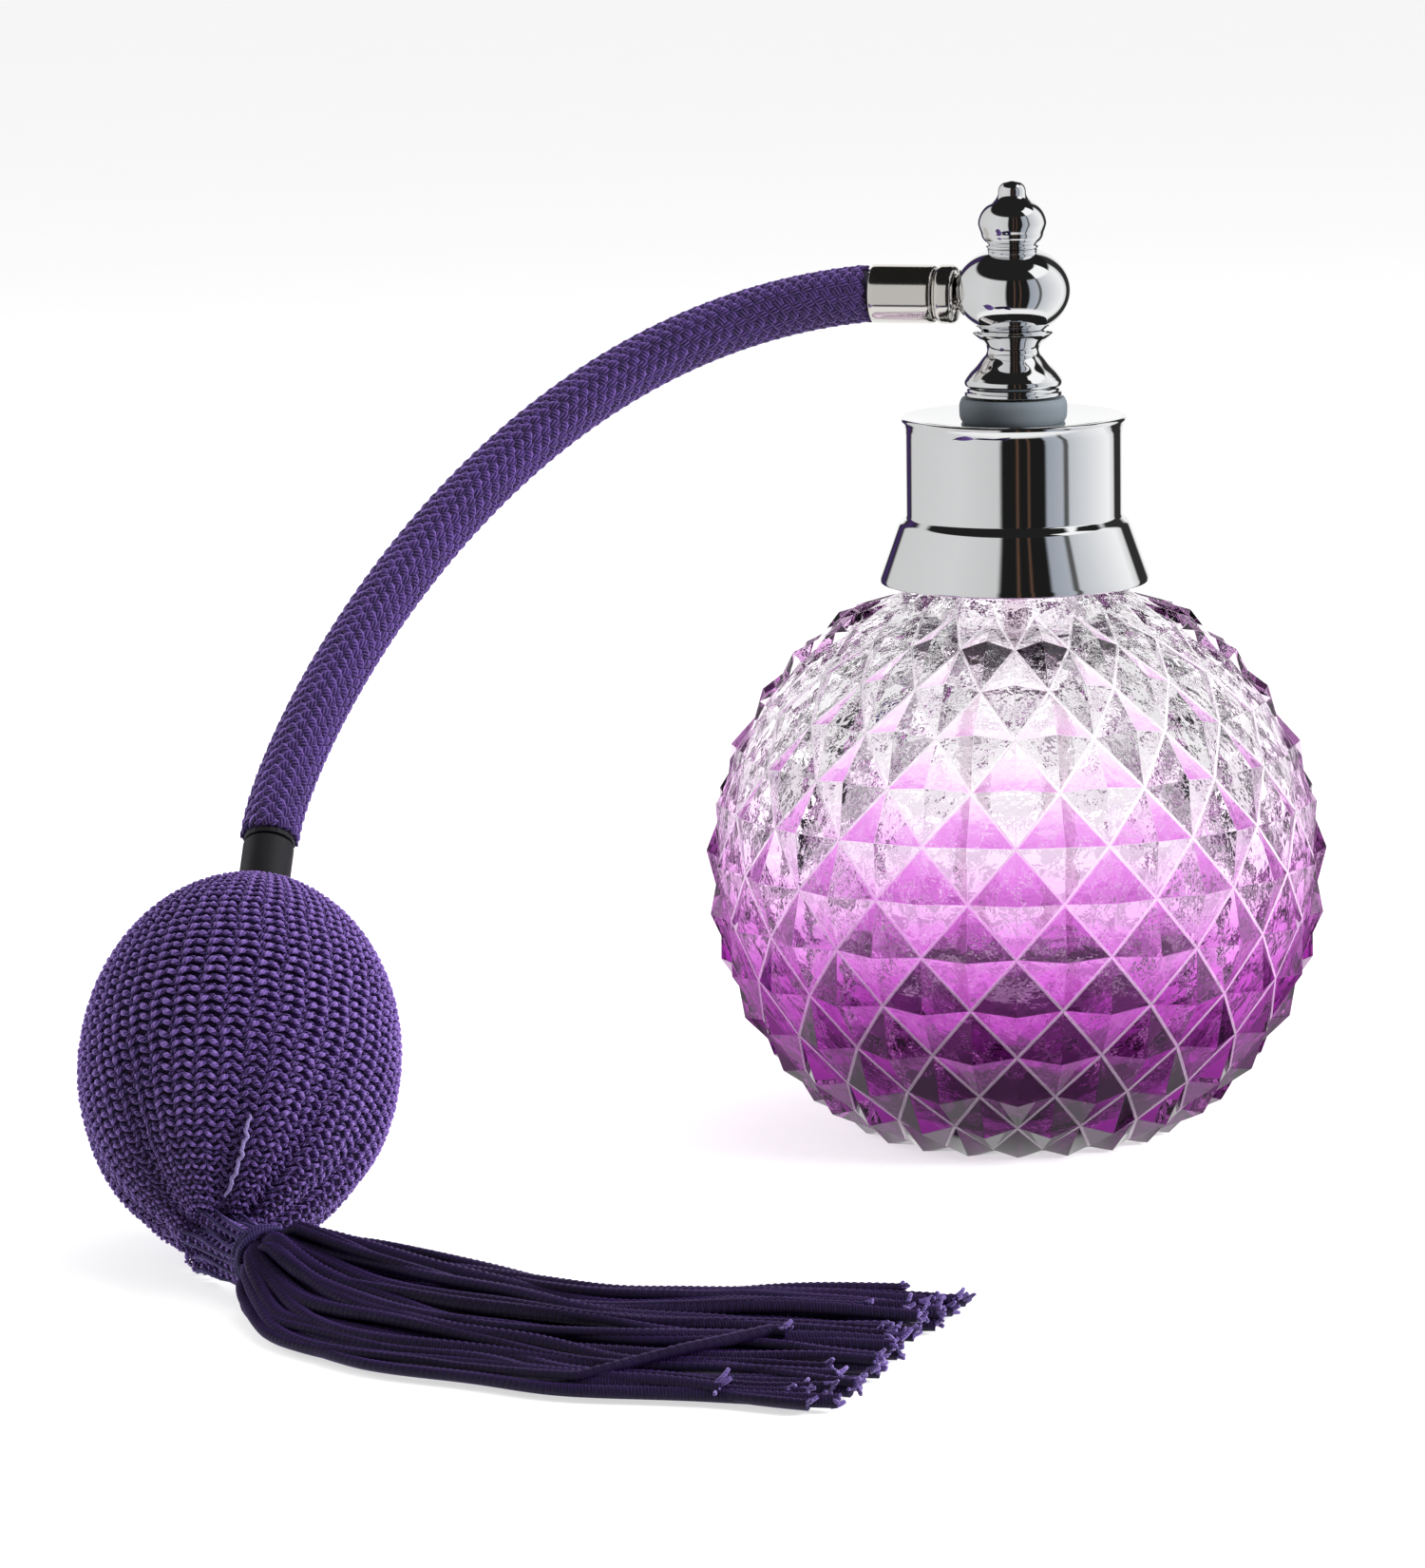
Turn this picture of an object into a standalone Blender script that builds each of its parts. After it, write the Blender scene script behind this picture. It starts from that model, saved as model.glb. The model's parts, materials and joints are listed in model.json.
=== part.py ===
"""Refillable perfume bottle with a bulb atomizer.

A diamond-cut glass globe carries a chrome screw collar and a turned spray head. A braided hose
runs from the head to a netted rubber squeeze bulb that ends in a corded tassel.

Row frame: origin at the centre of the flat base, +Z up, hose inlet towards -X, nozzle towards
+X, front towards -Y. Lengths in the tables below are in millimetres and are turned into metres
with MM where the geometry is made.
"""

import math

import bmesh
import bpy
from mathutils import Matrix, Vector

MM = 0.001
GAP = 0.3                       # clearance left between neighbouring pieces

# Globe of the bottle: staggered rhombic cells, each one a four-sided pyramid
GLOBE_CENTRE_Z = 34.0
TIP_R = 40.0                    # pyramid tips
VALLEY_R = 38.4                 # corners where four cells meet
CELLS_AROUND = 20
ROW_STEP = math.radians(10.35)
EQUATOR_ROW = math.radians(3.4)  # latitude of row 0
LOWEST_ROW, HIGHEST_ROW = -6, 6
PATTERN_TURN = math.radians(12)  # the cells are turned this far from the front
BASE_R = 17.0
CAVITY_R = 32.0
CAVITY_HALF_HEIGHT = 30.0
CAVITY_Z = 35.0

# Bottle neck and its thread
NECK_TOP = 86.0
NECK_FOOT = 72.6
NECK_R = 10.8
BORE_R = 7.5
THREAD_DEPTH = 0.8
THREAD_PITCH = 3.0
THREAD_TURNS = 2.6
THREAD_START = 74.6
INSERT_ROOT_R = 12.75
INSERT_R = 13.2
INSERT_THREAD_DEPTH = 0.85

# Spray head
STEM_R = 3.2
RISER_R = 1.1
INLET_Z = 107.8                 # height of the hose inlet and nozzle axis
BALL_R = 7.4
BALL_Z = 108.4
BALL_HALF_HEIGHT = 5.9

# Hose: a cubic Bezier from the ferrule to the bulb
HOSE_R = 3.75
HOSE_LINING_R = 2.9
HOSE_BORE_R = 1.8
HOSE_START = Vector((-18.9, 0.0, INLET_Z))
HOSE_START_HANDLE = Vector((-50.0, 0.0, -5.5))
HOSE_END_HANDLE = 16.0
HOSE_POINTS = 18

# Bulb: an ellipsoid lying on the table, its neck leaning up and back
BULB_CENTRE = Vector((-77.5, -83.9, 22.9))
BULB_AXIS = Vector((-0.087, 0.680, 0.728)).normalized()
SQUEEZE_AXIS = BULB_AXIS.cross(Vector((0, 0, 1))).normalized()
BULB_HALF_LENGTH = 24.7
BULB_R = 19.4
NET_THICKNESS = 1.0
RUBBER_THICKNESS = 1.6
WINDOW_R = 13.0
BULB_NECK_R = 3.15
BULB_NECK_TOP = 31.0
HOSE_END = 32.2                 # distance of the hose's lower end from the bulb's centre
BULB_SEGMENTS = 22

# Gathered net, tie and tassel
TIE_CENTRE = Vector((-66.6, -108.9, 5.4))
TIE_HEADING = math.radians(-43)
TIE_R = 4.2
TIE_CORD_R = 0.7
GATHER_R = 3.2
TASSEL_PATH = (
    Vector((-64.5, -110.9)), Vector((-48.0, -126.0)), Vector((-10.0, -143.0)), Vector((17.0, -120.0)),
)
TASSEL_SECTIONS = (             # (share of the path, half width, half height)
    (0.00, 1.7, 2.2), (0.06, 4.2, 3.0), (0.16, 9.5, 3.7), (0.30, 13.0, 3.8), (0.50, 12.6, 3.6),
    (0.70, 12.4, 3.5), (0.86, 13.6, 3.3), (0.96, 11.0, 2.8), (1.00, 6.5, 1.8),
)

parts = None                    # collection of the modelled pieces
cutters = None                  # collection of the bodies that only shape other pieces


# ---------------------------------------------------------------- scene and materials


def clear_scene():
    for obj in list(bpy.data.objects):
        bpy.data.objects.remove(obj, do_unlink=True)


def new_collection(name):
    collection = bpy.data.collections.new(name)
    bpy.context.scene.collection.children.link(collection)
    return collection


def material(name, colour, roughness, metallic=0.0, alpha=1.0):
    mat = bpy.data.materials.new(name)
    mat.use_nodes = True
    shader = mat.node_tree.nodes["Principled BSDF"]
    shader.inputs["Base Color"].default_value = (*colour, 1.0)
    shader.inputs["Roughness"].default_value = roughness
    shader.inputs["Metallic"].default_value = metallic
    shader.inputs["Alpha"].default_value = alpha
    mat.diffuse_color = (*colour, alpha)
    return mat


def place(name, mesh, mat, matrix=None):
    """Link a mesh to the parts as one named piece, standing at the given matrix."""
    obj = bpy.data.objects.new(name, mesh)
    parts.objects.link(obj)
    if matrix is not None:
        obj.matrix_world = matrix
    if mat is not None:
        mesh.materials.append(mat)
    return obj


def as_cutter(obj):
    parts.objects.unlink(obj)
    cutters.objects.link(obj)
    obj.hide_render = True
    obj.display_type = "WIRE"
    return obj


def boolean(obj, other, operation="DIFFERENCE"):
    modifier = obj.modifiers.new(other.name, "BOOLEAN")
    modifier.operation = operation
    modifier.object = other


# ---------------------------------------------------------------- shapes


def stand(centre, direction):
    """Matrix that puts local +Z along a direction, with its origin at a centre given in mm."""
    turn = Vector((0, 0, 1)).rotation_difference(Vector(direction))
    return Matrix.Translation(Vector(centre) * MM) @ turn.to_matrix().to_4x4()


def turned(name, profile, mat, segments=24, matrix=None, ring=True):
    """Lathe a profile of (radius, height) about local Z.

    The profile runs down its outer side. A ring then comes back up its inner side to the
    start; a solid piece starts and ends on the axis.
    """
    mesh = bpy.data.meshes.new(name)
    points = [(r * MM, 0.0, z * MM) for r, z in profile]
    edges = [(i, i + 1) for i in range(len(points) - 1)]
    if ring:
        edges.append((len(points) - 1, 0))
    mesh.from_pydata(points, edges, [])
    obj = place(name, mesh, mat, matrix)
    screw = obj.modifiers.new("turn", "SCREW")
    screw.steps = screw.render_steps = segments
    screw.use_merge_vertices = True
    screw.merge_threshold = 0.00001
    screw.use_smooth_shade = True
    return obj


def arc(centre_r, centre_z, half_r, half_z, start, end, steps):
    """Points on an elliptic arc, angles in degrees from the outward direction."""
    points = []
    for i in range(steps + 1):
        angle = math.radians(start + (end - start) * i / steps)
        points.append((centre_r + half_r * math.cos(angle), centre_z + half_z * math.sin(angle)))
    return points


def bezier(points, t):
    a, b, c, d = points
    s = 1 - t
    return a * s**3 + b * 3 * s * s * t + c * 3 * s * t * t + d * t**3


def hollow_tube(name, path, outer_r, bore_r, mat):
    """A round tube along a path: an open bevelled curve with a solidified wall."""
    curve = bpy.data.curves.new(name, "CURVE")
    curve.dimensions = "3D"
    curve.bevel_depth = outer_r * MM
    curve.bevel_resolution = 2
    spline = curve.splines.new("POLY")
    spline.points.add(len(path) - 1)
    for point, at in zip(spline.points, path):
        point.co = (*(at * MM), 1.0)
    curve.materials.append(mat)
    obj = bpy.data.objects.new(name, curve)
    parts.objects.link(obj)
    wall = obj.modifiers.new("wall", "SOLIDIFY")
    wall.thickness = (outer_r - bore_r) * MM
    wall.offset = -1.0
    return obj


def skin(name, rings, mat, loop=False):
    """A body through rings that all have the same number of points.

    Its ends are capped, or in a loop the last ring joins the first.
    """
    bm = bmesh.new()
    rows = [[bm.verts.new(Vector(p) * MM) for p in ring] for ring in rings]
    pairs = list(zip(rows, rows[1:])) + ([(rows[-1], rows[0])] if loop else [])
    for low, high in pairs:
        count = len(low)
        for i in range(count):
            j = (i + 1) % count
            bm.faces.new((low[i], low[j], high[j], high[i]))
    if not loop:
        bm.faces.new(reversed(rows[0]))
        bm.faces.new(rows[-1])
    bmesh.ops.recalc_face_normals(bm, faces=bm.faces)
    bmesh.ops.triangulate(bm, faces=bm.faces)
    mesh = bpy.data.meshes.new(name)
    bm.to_mesh(mesh)
    bm.free()
    return place(name, mesh, mat)


def thread_height(angle, z, phase):
    """How far the thread ridge stands up (0 to 1) at an angle and a height."""
    best = 0.0
    for turn in range(math.ceil(THREAD_TURNS) + 1):
        travel = angle / math.tau + turn
        if travel > THREAD_TURNS:
            continue
        offset = abs(z - THREAD_START - phase - THREAD_PITCH * travel)
        fade = min(1.0, travel / 0.15, (THREAD_TURNS - travel) / 0.15)
        best = max(best, fade * min(1.0, max(0.0, (1.25 - offset) / 0.6)))
    return best


# ---------------------------------------------------------------- bottle


def globe_point(latitude, longitude, radius):
    flat = radius * math.cos(latitude)
    return Vector((
        flat * math.cos(longitude), flat * math.sin(longitude),
        GLOBE_CENTRE_Z + radius * math.sin(latitude),
    ))


def globe_longitude(row, half_cells):
    """Longitude of a place on a row, counted in half cells from that row's first corner."""
    step = math.tau / CELLS_AROUND
    start = -math.pi / 2 + PATTERN_TURN + (step / 2 if row % 2 == 0 else 0.0)
    return start + half_cells * step / 2


def pattern_rings(bm):
    """Make the pyramids. Returns the pattern's lowest and highest rings, in angle order."""
    rows = range(LOWEST_ROW, HIGHEST_ROW + 1)
    corners, tips = {}, {}
    for row in rows:
        latitude = EQUATOR_ROW + row * ROW_STEP
        tip_r = TIP_R
        if row == HIGHEST_ROW:
            tip_r = VALLEY_R
        if row == LOWEST_ROW:
            tip_r = (GLOBE_CENTRE_Z - GAP) / math.sin(-latitude)
        for k in range(CELLS_AROUND):
            corner = globe_point(latitude, globe_longitude(row, 2 * k), VALLEY_R)
            tip = globe_point(latitude, globe_longitude(row, 2 * k + 1), tip_r)
            corners[row, k] = bm.verts.new(corner * MM)
            tips[row, k] = bm.verts.new(tip * MM)
    for row in rows:
        shift = 0 if row % 2 else 1
        for k in range(CELLS_AROUND):
            left, right = corners[row, k], corners[row, (k + 1) % CELLS_AROUND]
            tip = tips[row, k]
            beside = (k + shift) % CELLS_AROUND
            if row > LOWEST_ROW:
                below = corners[row - 1, beside]
                bm.faces.new((left, below, tip))
                bm.faces.new((below, right, tip))
            if row < HIGHEST_ROW:
                above = corners[row + 1, beside]
                bm.faces.new((right, above, tip))
                bm.faces.new((above, left, tip))

    def ring(row):
        verts = [v for k in range(CELLS_AROUND) for v in (corners[row, k], tips[row, k])]
        return verts if row % 2 else verts[-1:] + verts[:-1]

    return ring(LOWEST_ROW), ring(HIGHEST_ROW)


def bottle_rings():
    """Heights and radii above the pattern: shoulder, threaded neck, rim, bore and cavity."""
    rings = [(12.6, 71.2, False), (NECK_R, NECK_FOOT, False)]
    steps = 10
    for i in range(steps + 1):
        rings.append((NECK_R, NECK_FOOT + 0.8 + (NECK_TOP - NECK_FOOT - 1.6) * i / steps, True))
    rings += [(NECK_R - 0.5, NECK_TOP, False), (BORE_R + 0.4, NECK_TOP, False)]
    rings += [(BORE_R, NECK_TOP - 0.5, False), (BORE_R, 68.0, False)]
    for r, z in arc(0, CAVITY_Z, CAVITY_R, CAVITY_HALF_HEIGHT, 72, -78, 7):
        rings.append((r, z, False))
    return rings


def glass_bottle(mat):
    bm = bmesh.new()
    low, high = pattern_rings(bm)
    count = 2 * CELLS_AROUND
    first = -math.pi / 2 + PATTERN_TURN

    def join(a, b):
        for i in range(count):
            j = (i + 1) % count
            bm.faces.new((a[i], a[j], b[j], b[i]))

    previous = high
    for r, z, threaded in bottle_rings():
        ring = []
        for i in range(count):
            angle = (first + math.tau * i / count) % math.tau
            radius = r + (THREAD_DEPTH * thread_height(angle, z, 0.0) if threaded else 0.0)
            ring.append(bm.verts.new(
                Vector((radius * math.cos(angle), radius * math.sin(angle), z)) * MM))
        join(previous, ring)
        previous = ring
    bm.faces.new(previous)
    base = [
        bm.verts.new(Vector((
            BASE_R * math.cos(first + math.tau * i / count),
            BASE_R * math.sin(first + math.tau * i / count), 0)) * MM)
        for i in range(count)
    ]
    join(base, low)
    bm.faces.new(reversed(base))
    bmesh.ops.recalc_face_normals(bm, faces=bm.faces)
    bmesh.ops.triangulate(bm, faces=[f for f in bm.faces if len(f.verts) < count])
    mesh = bpy.data.meshes.new("glass_bottle")
    bm.to_mesh(mesh)
    bm.free()
    return place("glass_bottle", mesh, mat)


def neck_plug(mat):
    """Soft stopper in the neck's bore; the stem passes through it."""
    turned("neck_plug", [
        (10.2, 87.0), (10.2, NECK_TOP + GAP), (BORE_R - GAP, NECK_TOP + GAP),
        (BORE_R - GAP, 80.5), (BORE_R - 1.2, 79.5), (STEM_R + GAP, 79.5), (STEM_R + GAP, 87.0),
    ], mat)


# ---------------------------------------------------------------- collar


def collar_shell(mat):
    """Chrome skirt with a rounded shoulder, a narrow waist and a flared lip."""
    outer = [(14.2, 92.55), (14.45, 92.5), (14.4, 92.1), (14.1, 91.4), (13.92, 90.5)]
    outer += [(13.9, 79.7), (14.3, 79.2), (15.0, 78.3), (15.5, 77.3), (17.3, 71.9), (17.3, 71.3)]
    inner = [(16.8, 71.3), (15.0, 77.0), (13.45, 79.0), (13.45, 90.6)]
    inner += [(5.0, 90.6), (5.0, 91.3), (13.4, 91.3), (13.9, 92.3)]
    turned("collar_shell", outer + inner, mat, 32)


def collar_insert(mat):
    """Plastic liner of the collar, threaded inside, with a flange over the stem's flange."""
    segments = 28
    ridge_rows = [76.0 + 1.3 * i for i in range(10)]
    outline = [(INSERT_R, 75.2, False), (INSERT_R, 90.3, False), (6.5, 90.3, False)]
    outline += [(6.5, 89.6, False), (INSERT_ROOT_R - 0.3, 89.6, False)]
    outline += [(INSERT_ROOT_R, z, True) for z in reversed(ridge_rows)]
    outline += [(INSERT_ROOT_R, 75.2, False)]
    rings = []
    for r, z, threaded in outline:
        ring = []
        for i in range(segments):
            angle = math.tau * i / segments
            ridge = thread_height(angle, z, THREAD_PITCH / 2) if threaded else 0.0
            radius = r - INSERT_THREAD_DEPTH * ridge
            ring.append((radius * math.cos(angle), radius * math.sin(angle), z))
        rings.append(ring)
    skin("collar_insert", rings, mat, loop=True)


# ---------------------------------------------------------------- stem and dip tube


def stem_group(metal, rubber, plastic):
    """The fixed core of the head: flange under the collar, tube up into the bell."""
    turned("bottle_seal", [
        (10.4, 88.1), (10.4, 87.3), (STEM_R + GAP, 87.3), (STEM_R + GAP, 88.1),
    ], rubber)
    turned("head_stem", [
        (STEM_R - 0.3, 98.3), (STEM_R, 98.0), (STEM_R, 89.3), (11.0, 89.3), (11.0, 88.4),
        (STEM_R, 88.4), (STEM_R, 79.8), (2.15, 79.8), (2.15, 86.5), (1.5, 87.2), (1.5, 98.3),
    ], metal)
    gasket = [(6.5, 94.8), (6.85, 94.4), (6.85, 92.0), (6.5, 91.65)]
    turned("swivel_gasket", gasket + [(STEM_R + GAP, 91.65), (STEM_R + GAP, 94.8)], rubber)
    stem_nut(metal)
    turned("dip_tube", [
        (1.85, 86.2), (1.85, 8.0), (1.2, 8.0), (1.2, 86.2),
    ], plastic, 16)


def stem_nut(mat):
    """Hexagonal nut that keeps the bell on the stem while the bell turns."""
    bpy.ops.mesh.primitive_cylinder_add(
        vertices=6, radius=4.3 * MM, depth=1.5 * MM, location=(0, 0, 96.9 * MM))
    nut = bpy.context.object
    nut.name = nut.data.name = "stem_nut"
    for collection in list(nut.users_collection):
        collection.objects.unlink(nut)
    parts.objects.link(nut)
    nut.data.materials.append(mat)
    bore = turned("stem_nut_bore", [
        (0, 99.0), (STEM_R + 0.1, 99.0), (STEM_R + 0.1, 95.0), (0, 95.0),
    ], None, 24, ring=False)
    boolean(nut, as_cutter(bore))


# ---------------------------------------------------------------- spray head


def head_base(mat):
    """Bell, waist and cup that carry the ball; hollow round the stem's nut."""
    outer = [(2.5, 105.2), (2.5, 103.4), (4.9, 103.4), (5.2, 103.1), (4.7, 102.5), (3.7, 101.6)]
    outer += [(3.35, 101.0), (3.6, 100.3), (4.5, 99.2), (5.5, 98.15), (6.15, 97.2), (6.25, 96.7)]
    outer += [(5.9, 95.8), (6.25, 95.5), (6.25, 95.1)]
    inner = [(STEM_R + GAP, 95.1), (STEM_R + GAP, 95.8), (5.1, 95.8), (5.0, 97.0), (3.9, 98.6)]
    inner += [(1.5, 99.4), (1.5, 105.2)]
    turned("head_base", outer + inner, mat)


def head_ball(mat):
    """Hollow squashed ball with holes for the base, the inlet, the nozzle and the finial."""
    foot, crown = -57, 66
    wall = 0.7
    outer = arc(0, BALL_Z, BALL_R, BALL_HALF_HEIGHT, crown, foot, 9)
    inner = arc(0, BALL_Z, BALL_R - wall, BALL_HALF_HEIGHT - wall, foot, crown, 6)
    ball = turned("head_ball", outer + inner, mat)
    along = stand((0, 0, INLET_Z), (1, 0, 0))
    for name, radius, near, far in (("inlet_hole", 2.4, -9, -4), ("nozzle_hole", 1.9, 4, 9)):
        hole = turned(name, [(0, far), (radius, far), (radius, near), (0, near)],
                      None, 16, along, ring=False)
        boolean(ball, as_cutter(hole))


def jet_block(mat):
    """Plastic block inside the ball that lines the riser up with the air jet."""
    block = turned("jet_block", [(0, 111.6), (3.1, 111.6), (3.1, 105.5), (0, 105.5)],
                   mat, 20, ring=False)
    jet_way = turned("jet_way", [(0, 6), (1.5, 6), (1.5, -6), (0, -6)], None, 16,
                     stand((0, 0, INLET_Z), (1, 0, 0)), ring=False)
    riser_way = turned("riser_way", [(0, 107.0), (1.4, 107.0), (1.4, 104.0), (0, 104.0)], None,
                       16, ring=False)
    stud_way = turned("stud_way", [(0, 113.0), (1.3, 113.0), (1.3, 110.2), (0, 110.2)], None,
                      16, ring=False)
    for cutter in (jet_way, riser_way, stud_way):
        boolean(block, as_cutter(cutter))


def finial(mat):
    """Neck ring, ball and nub on a stud that screws down into the jet block."""
    profile = [(0, 122.4), (1.1, 122.15), (1.7, 121.4), (1.85, 120.5), (2.55, 119.8), (3.5, 119.05)]
    profile += [(4.2, 118.0), (4.4, 117.0), (4.1, 115.9), (3.75, 114.9), (3.05, 114.3)]
    profile += [(3.35, 114.1), (3.2, 113.85), (1.0, 113.85), (1.0, 110.6), (0, 110.6)]
    turned("finial", profile, mat, 20, ring=False)


def inlet_pieces(brass, plastic):
    """Nozzle insert, air jet and liquid riser."""
    along = stand((0, 0, INLET_Z), (1, 0, 0))
    turned("nozzle_insert", [
        (1.85, 7.4), (1.85, 6.6), (1.55, 6.5), (1.55, 4.2), (0.9, 4.2), (0.9, 6.2),
        (0.3, 6.5), (0.3, 7.1), (1.2, 7.4),
    ], brass, 20, along)
    turned("air_jet", [
        (0.7, 3.8), (1.15, 3.0), (1.15, -4.4), (0.6, -4.4), (0.6, 2.8), (0.35, 3.8),
    ], brass, 16, along)
    turned("liquid_riser", [
        (RISER_R, 106.6), (RISER_R, 89.0), (0.55, 89.0), (0.55, 106.6),
    ], plastic, 16)


# ---------------------------------------------------------------- hose


def hose_path(start_t, end_t):
    end = BULB_CENTRE + BULB_AXIS * HOSE_END
    controls = (HOSE_START, HOSE_START + HOSE_START_HANDLE, end + BULB_AXIS * HOSE_END_HANDLE, end)
    steps = HOSE_POINTS - 1
    return [bezier(controls, start_t + (end_t - start_t) * i / steps) for i in range(HOSE_POINTS)]


def hose_pieces(brass, nickel, rubber, braid):
    outward = stand((0, 0, INLET_Z), (-1, 0, 0))
    barbs = []
    for end in (16.5, 14.2, 11.9):
        barbs += [(1.25, end), (1.5, end - 1.8)]
    turned("hose_nipple", barbs + [
        (1.5, 9.9), (3.2, 9.9), (3.3, 9.5), (3.8, 9.0), (3.8, 8.1), (3.3, 7.6), (2.05, 7.6),
        (2.05, 5.2), (0.8, 5.2), (0.8, 16.5),
    ], brass, 20, outward)
    turned("hose_ferrule", [
        (HOSE_R, 18.1), (HOSE_R, 10.4), (3.5, 10.0), (3.2, 10.0), (3.2, 18.1),
    ], nickel, 24, outward)
    lead_in = [Vector((x, 0, INLET_Z)) for x in (-10.6, -14.5)]
    hollow_tube("air_hose", lead_in + hose_path(0, 1), HOSE_LINING_R, HOSE_BORE_R, rubber)
    hollow_tube("hose_sleeve", hose_path(0, 1), HOSE_R, HOSE_LINING_R + GAP, braid)


# ---------------------------------------------------------------- bulb


def bulb_matrix():
    return stand(BULB_CENTRE, BULB_AXIS)


def rubber_profile(shrink):
    """Semi-axes of the bulb's surface at a depth below the net's outside."""
    return BULB_R - shrink, BULB_HALF_LENGTH - shrink


def bulb_shell(name, mat):
    """Rubber shell with its neck; the tail is open for the intake valve."""
    depth = NET_THICKNESS + GAP
    r, half = rubber_profile(depth)
    in_r, in_half = rubber_profile(depth + RUBBER_THICKNESS)
    outer = [(BULB_NECK_R, BULB_NECK_TOP), (BULB_NECK_R, 23.0)]
    outer += arc(0, 0, r, half, 72, -78, 9)
    inner = arc(0, 0, in_r, in_half, -76, 74, 8) + [(2.0, BULB_NECK_TOP)]
    return turned(name, outer + inner, mat, BULB_SEGMENTS, bulb_matrix())


def window_bar(name, radius, near, far):
    """Cylinder across the bulb along the squeeze axis, between two distances."""
    return turned(name, [(0, far), (radius, far), (radius, near), (0, near)], None, 24,
                  stand(BULB_CENTRE, SQUEEZE_AXIS), ring=False)


def rubber_bulb(mat):
    """One rubber wall in three solids: a body with two round windows, and their two walls."""
    body = bulb_shell("rubber_bulb", mat)
    for name, near, far in (("left_window", -25, -4), ("right_window", 4, 25)):
        boolean(body, as_cutter(window_bar(name, WINDOW_R, near, far)))
    for name, near, far in (("bulb_wall_left", -25, -4), ("bulb_wall_right", 4, 25)):
        wall = bulb_shell(name, mat)
        boolean(wall, as_cutter(window_bar(name + "_trim", WINDOW_R - GAP, near, far)), "INTERSECT")


def gather_rings():
    """The bunched end of the net, from inside the bulb's tail to the tie."""
    tail = BULB_CENTRE - BULB_AXIS * (BULB_HALF_LENGTH - 4.0)
    heading = Vector((math.cos(TIE_HEADING), math.sin(TIE_HEADING), 0))
    mouth = TIE_CENTRE - heading * 0.6
    controls = (tail, tail - BULB_AXIS * 3.5, mouth - heading * 5.5, mouth)
    rings = []
    for i in range(8):
        t = i / 7
        centre = bezier(controls, t)
        ahead = (bezier(controls, min(t + 0.02, 1)) - bezier(controls, max(t - 0.02, 0))).normalized()
        side = ahead.cross(Vector((0, 0, 1))).normalized()
        up = side.cross(ahead)
        radius = GATHER_R + 2.6 * (1 - t) ** 2
        rings.append([
            centre + (side * math.cos(a) + up * math.sin(a)) * radius
            for a in (math.tau * k / 14 for k in range(14))
        ])
    return rings


def bulb_net(mat):
    """Knitted cover of the bulb, gathered at its tail."""
    outer = [(0, 24.0), (4.2, 24.0)] + arc(0, 0, BULB_R, BULB_HALF_LENGTH, 75, -90, 9)
    net = turned("bulb_net", outer, mat, BULB_SEGMENTS, bulb_matrix(), ring=False)
    gather = skin("net_gather", gather_rings(), None)
    r, half = rubber_profile(NET_THICKNESS)
    inside = turned("net_inside", [(0, 30), (3.6, 30), (3.6, 23.4)]
                    + arc(0, 0, r, half, 75, -90, 9), None, BULB_SEGMENTS, bulb_matrix(), ring=False)
    boolean(net, as_cutter(gather), "UNION")
    boolean(net, as_cutter(inside))


def bulb_fittings(brass, plastic, steel):
    """Connector into the hose, and the intake valve in the bulb's tail."""
    matrix = bulb_matrix()
    turned("bulb_connector", [
        (1.25, 36.6), (1.45, 35.6), (1.45, 31.9), (3.1, 31.9), (3.1, 31.3), (1.7, 31.3),
        (1.7, 18.6), (0.9, 18.6), (0.9, 36.6),
    ], plastic, 20, matrix)
    turned("intake_valve_body", [
        (3.3, -14.8), (3.3, -22.4), (2.6, -22.7), (0.7, -22.7), (0.7, -21.5), (1.6, -20.5),
        (1.6, -16.8), (2.5, -16.8), (2.5, -14.8),
    ], brass, 20, matrix)
    turned("intake_valve_retainer", [
        (2.2, -15.2), (2.2, -16.5), (0.6, -16.5), (0.6, -15.2),
    ], brass, 20, matrix)
    bpy.ops.mesh.primitive_uv_sphere_add(segments=16, ring_count=10, radius=1.25 * MM)
    ball = bpy.context.object
    ball.name = ball.data.name = "intake_valve_ball"
    for collection in list(ball.users_collection):
        collection.objects.unlink(ball)
    parts.objects.link(ball)
    ball.data.materials.append(steel)
    ball.location = (BULB_CENTRE - BULB_AXIS * 19.2) * MM


# ---------------------------------------------------------------- tie and tassel


def net_tie(mat):
    """Cord wound round the gathered net."""
    heading = (math.cos(TIE_HEADING), math.sin(TIE_HEADING), 0)
    section = arc(TIE_R, 0, TIE_CORD_R, TIE_CORD_R, 90, -225, 7)
    turned("net_tie", section, mat, 24, stand(TIE_CENTRE, heading))


def tassel_cords(mat):
    """The bundle of cords lying on the table, flattened and spread."""
    count = 16
    rings = []
    for share, half_width, half_height in TASSEL_SECTIONS:
        at = bezier(TASSEL_PATH, share)
        ahead = bezier(TASSEL_PATH, min(share + 0.02, 1)) - bezier(TASSEL_PATH, max(share - 0.02, 0))
        side = Vector((-ahead.y, ahead.x)).normalized()
        rise = (TIE_CENTRE.z - 4.1) * max(0.0, 1 - share / 0.16)
        ring = []
        for k in range(count):
            angle = math.tau * k / count
            flat = at + side * (half_width * math.cos(angle))
            ring.append((flat.x, flat.y, 0.4 + rise + half_height * (1 + math.sin(angle))))
        rings.append(ring)
    skin("tassel_cords", rings, mat)


# ---------------------------------------------------------------- assembly


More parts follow.
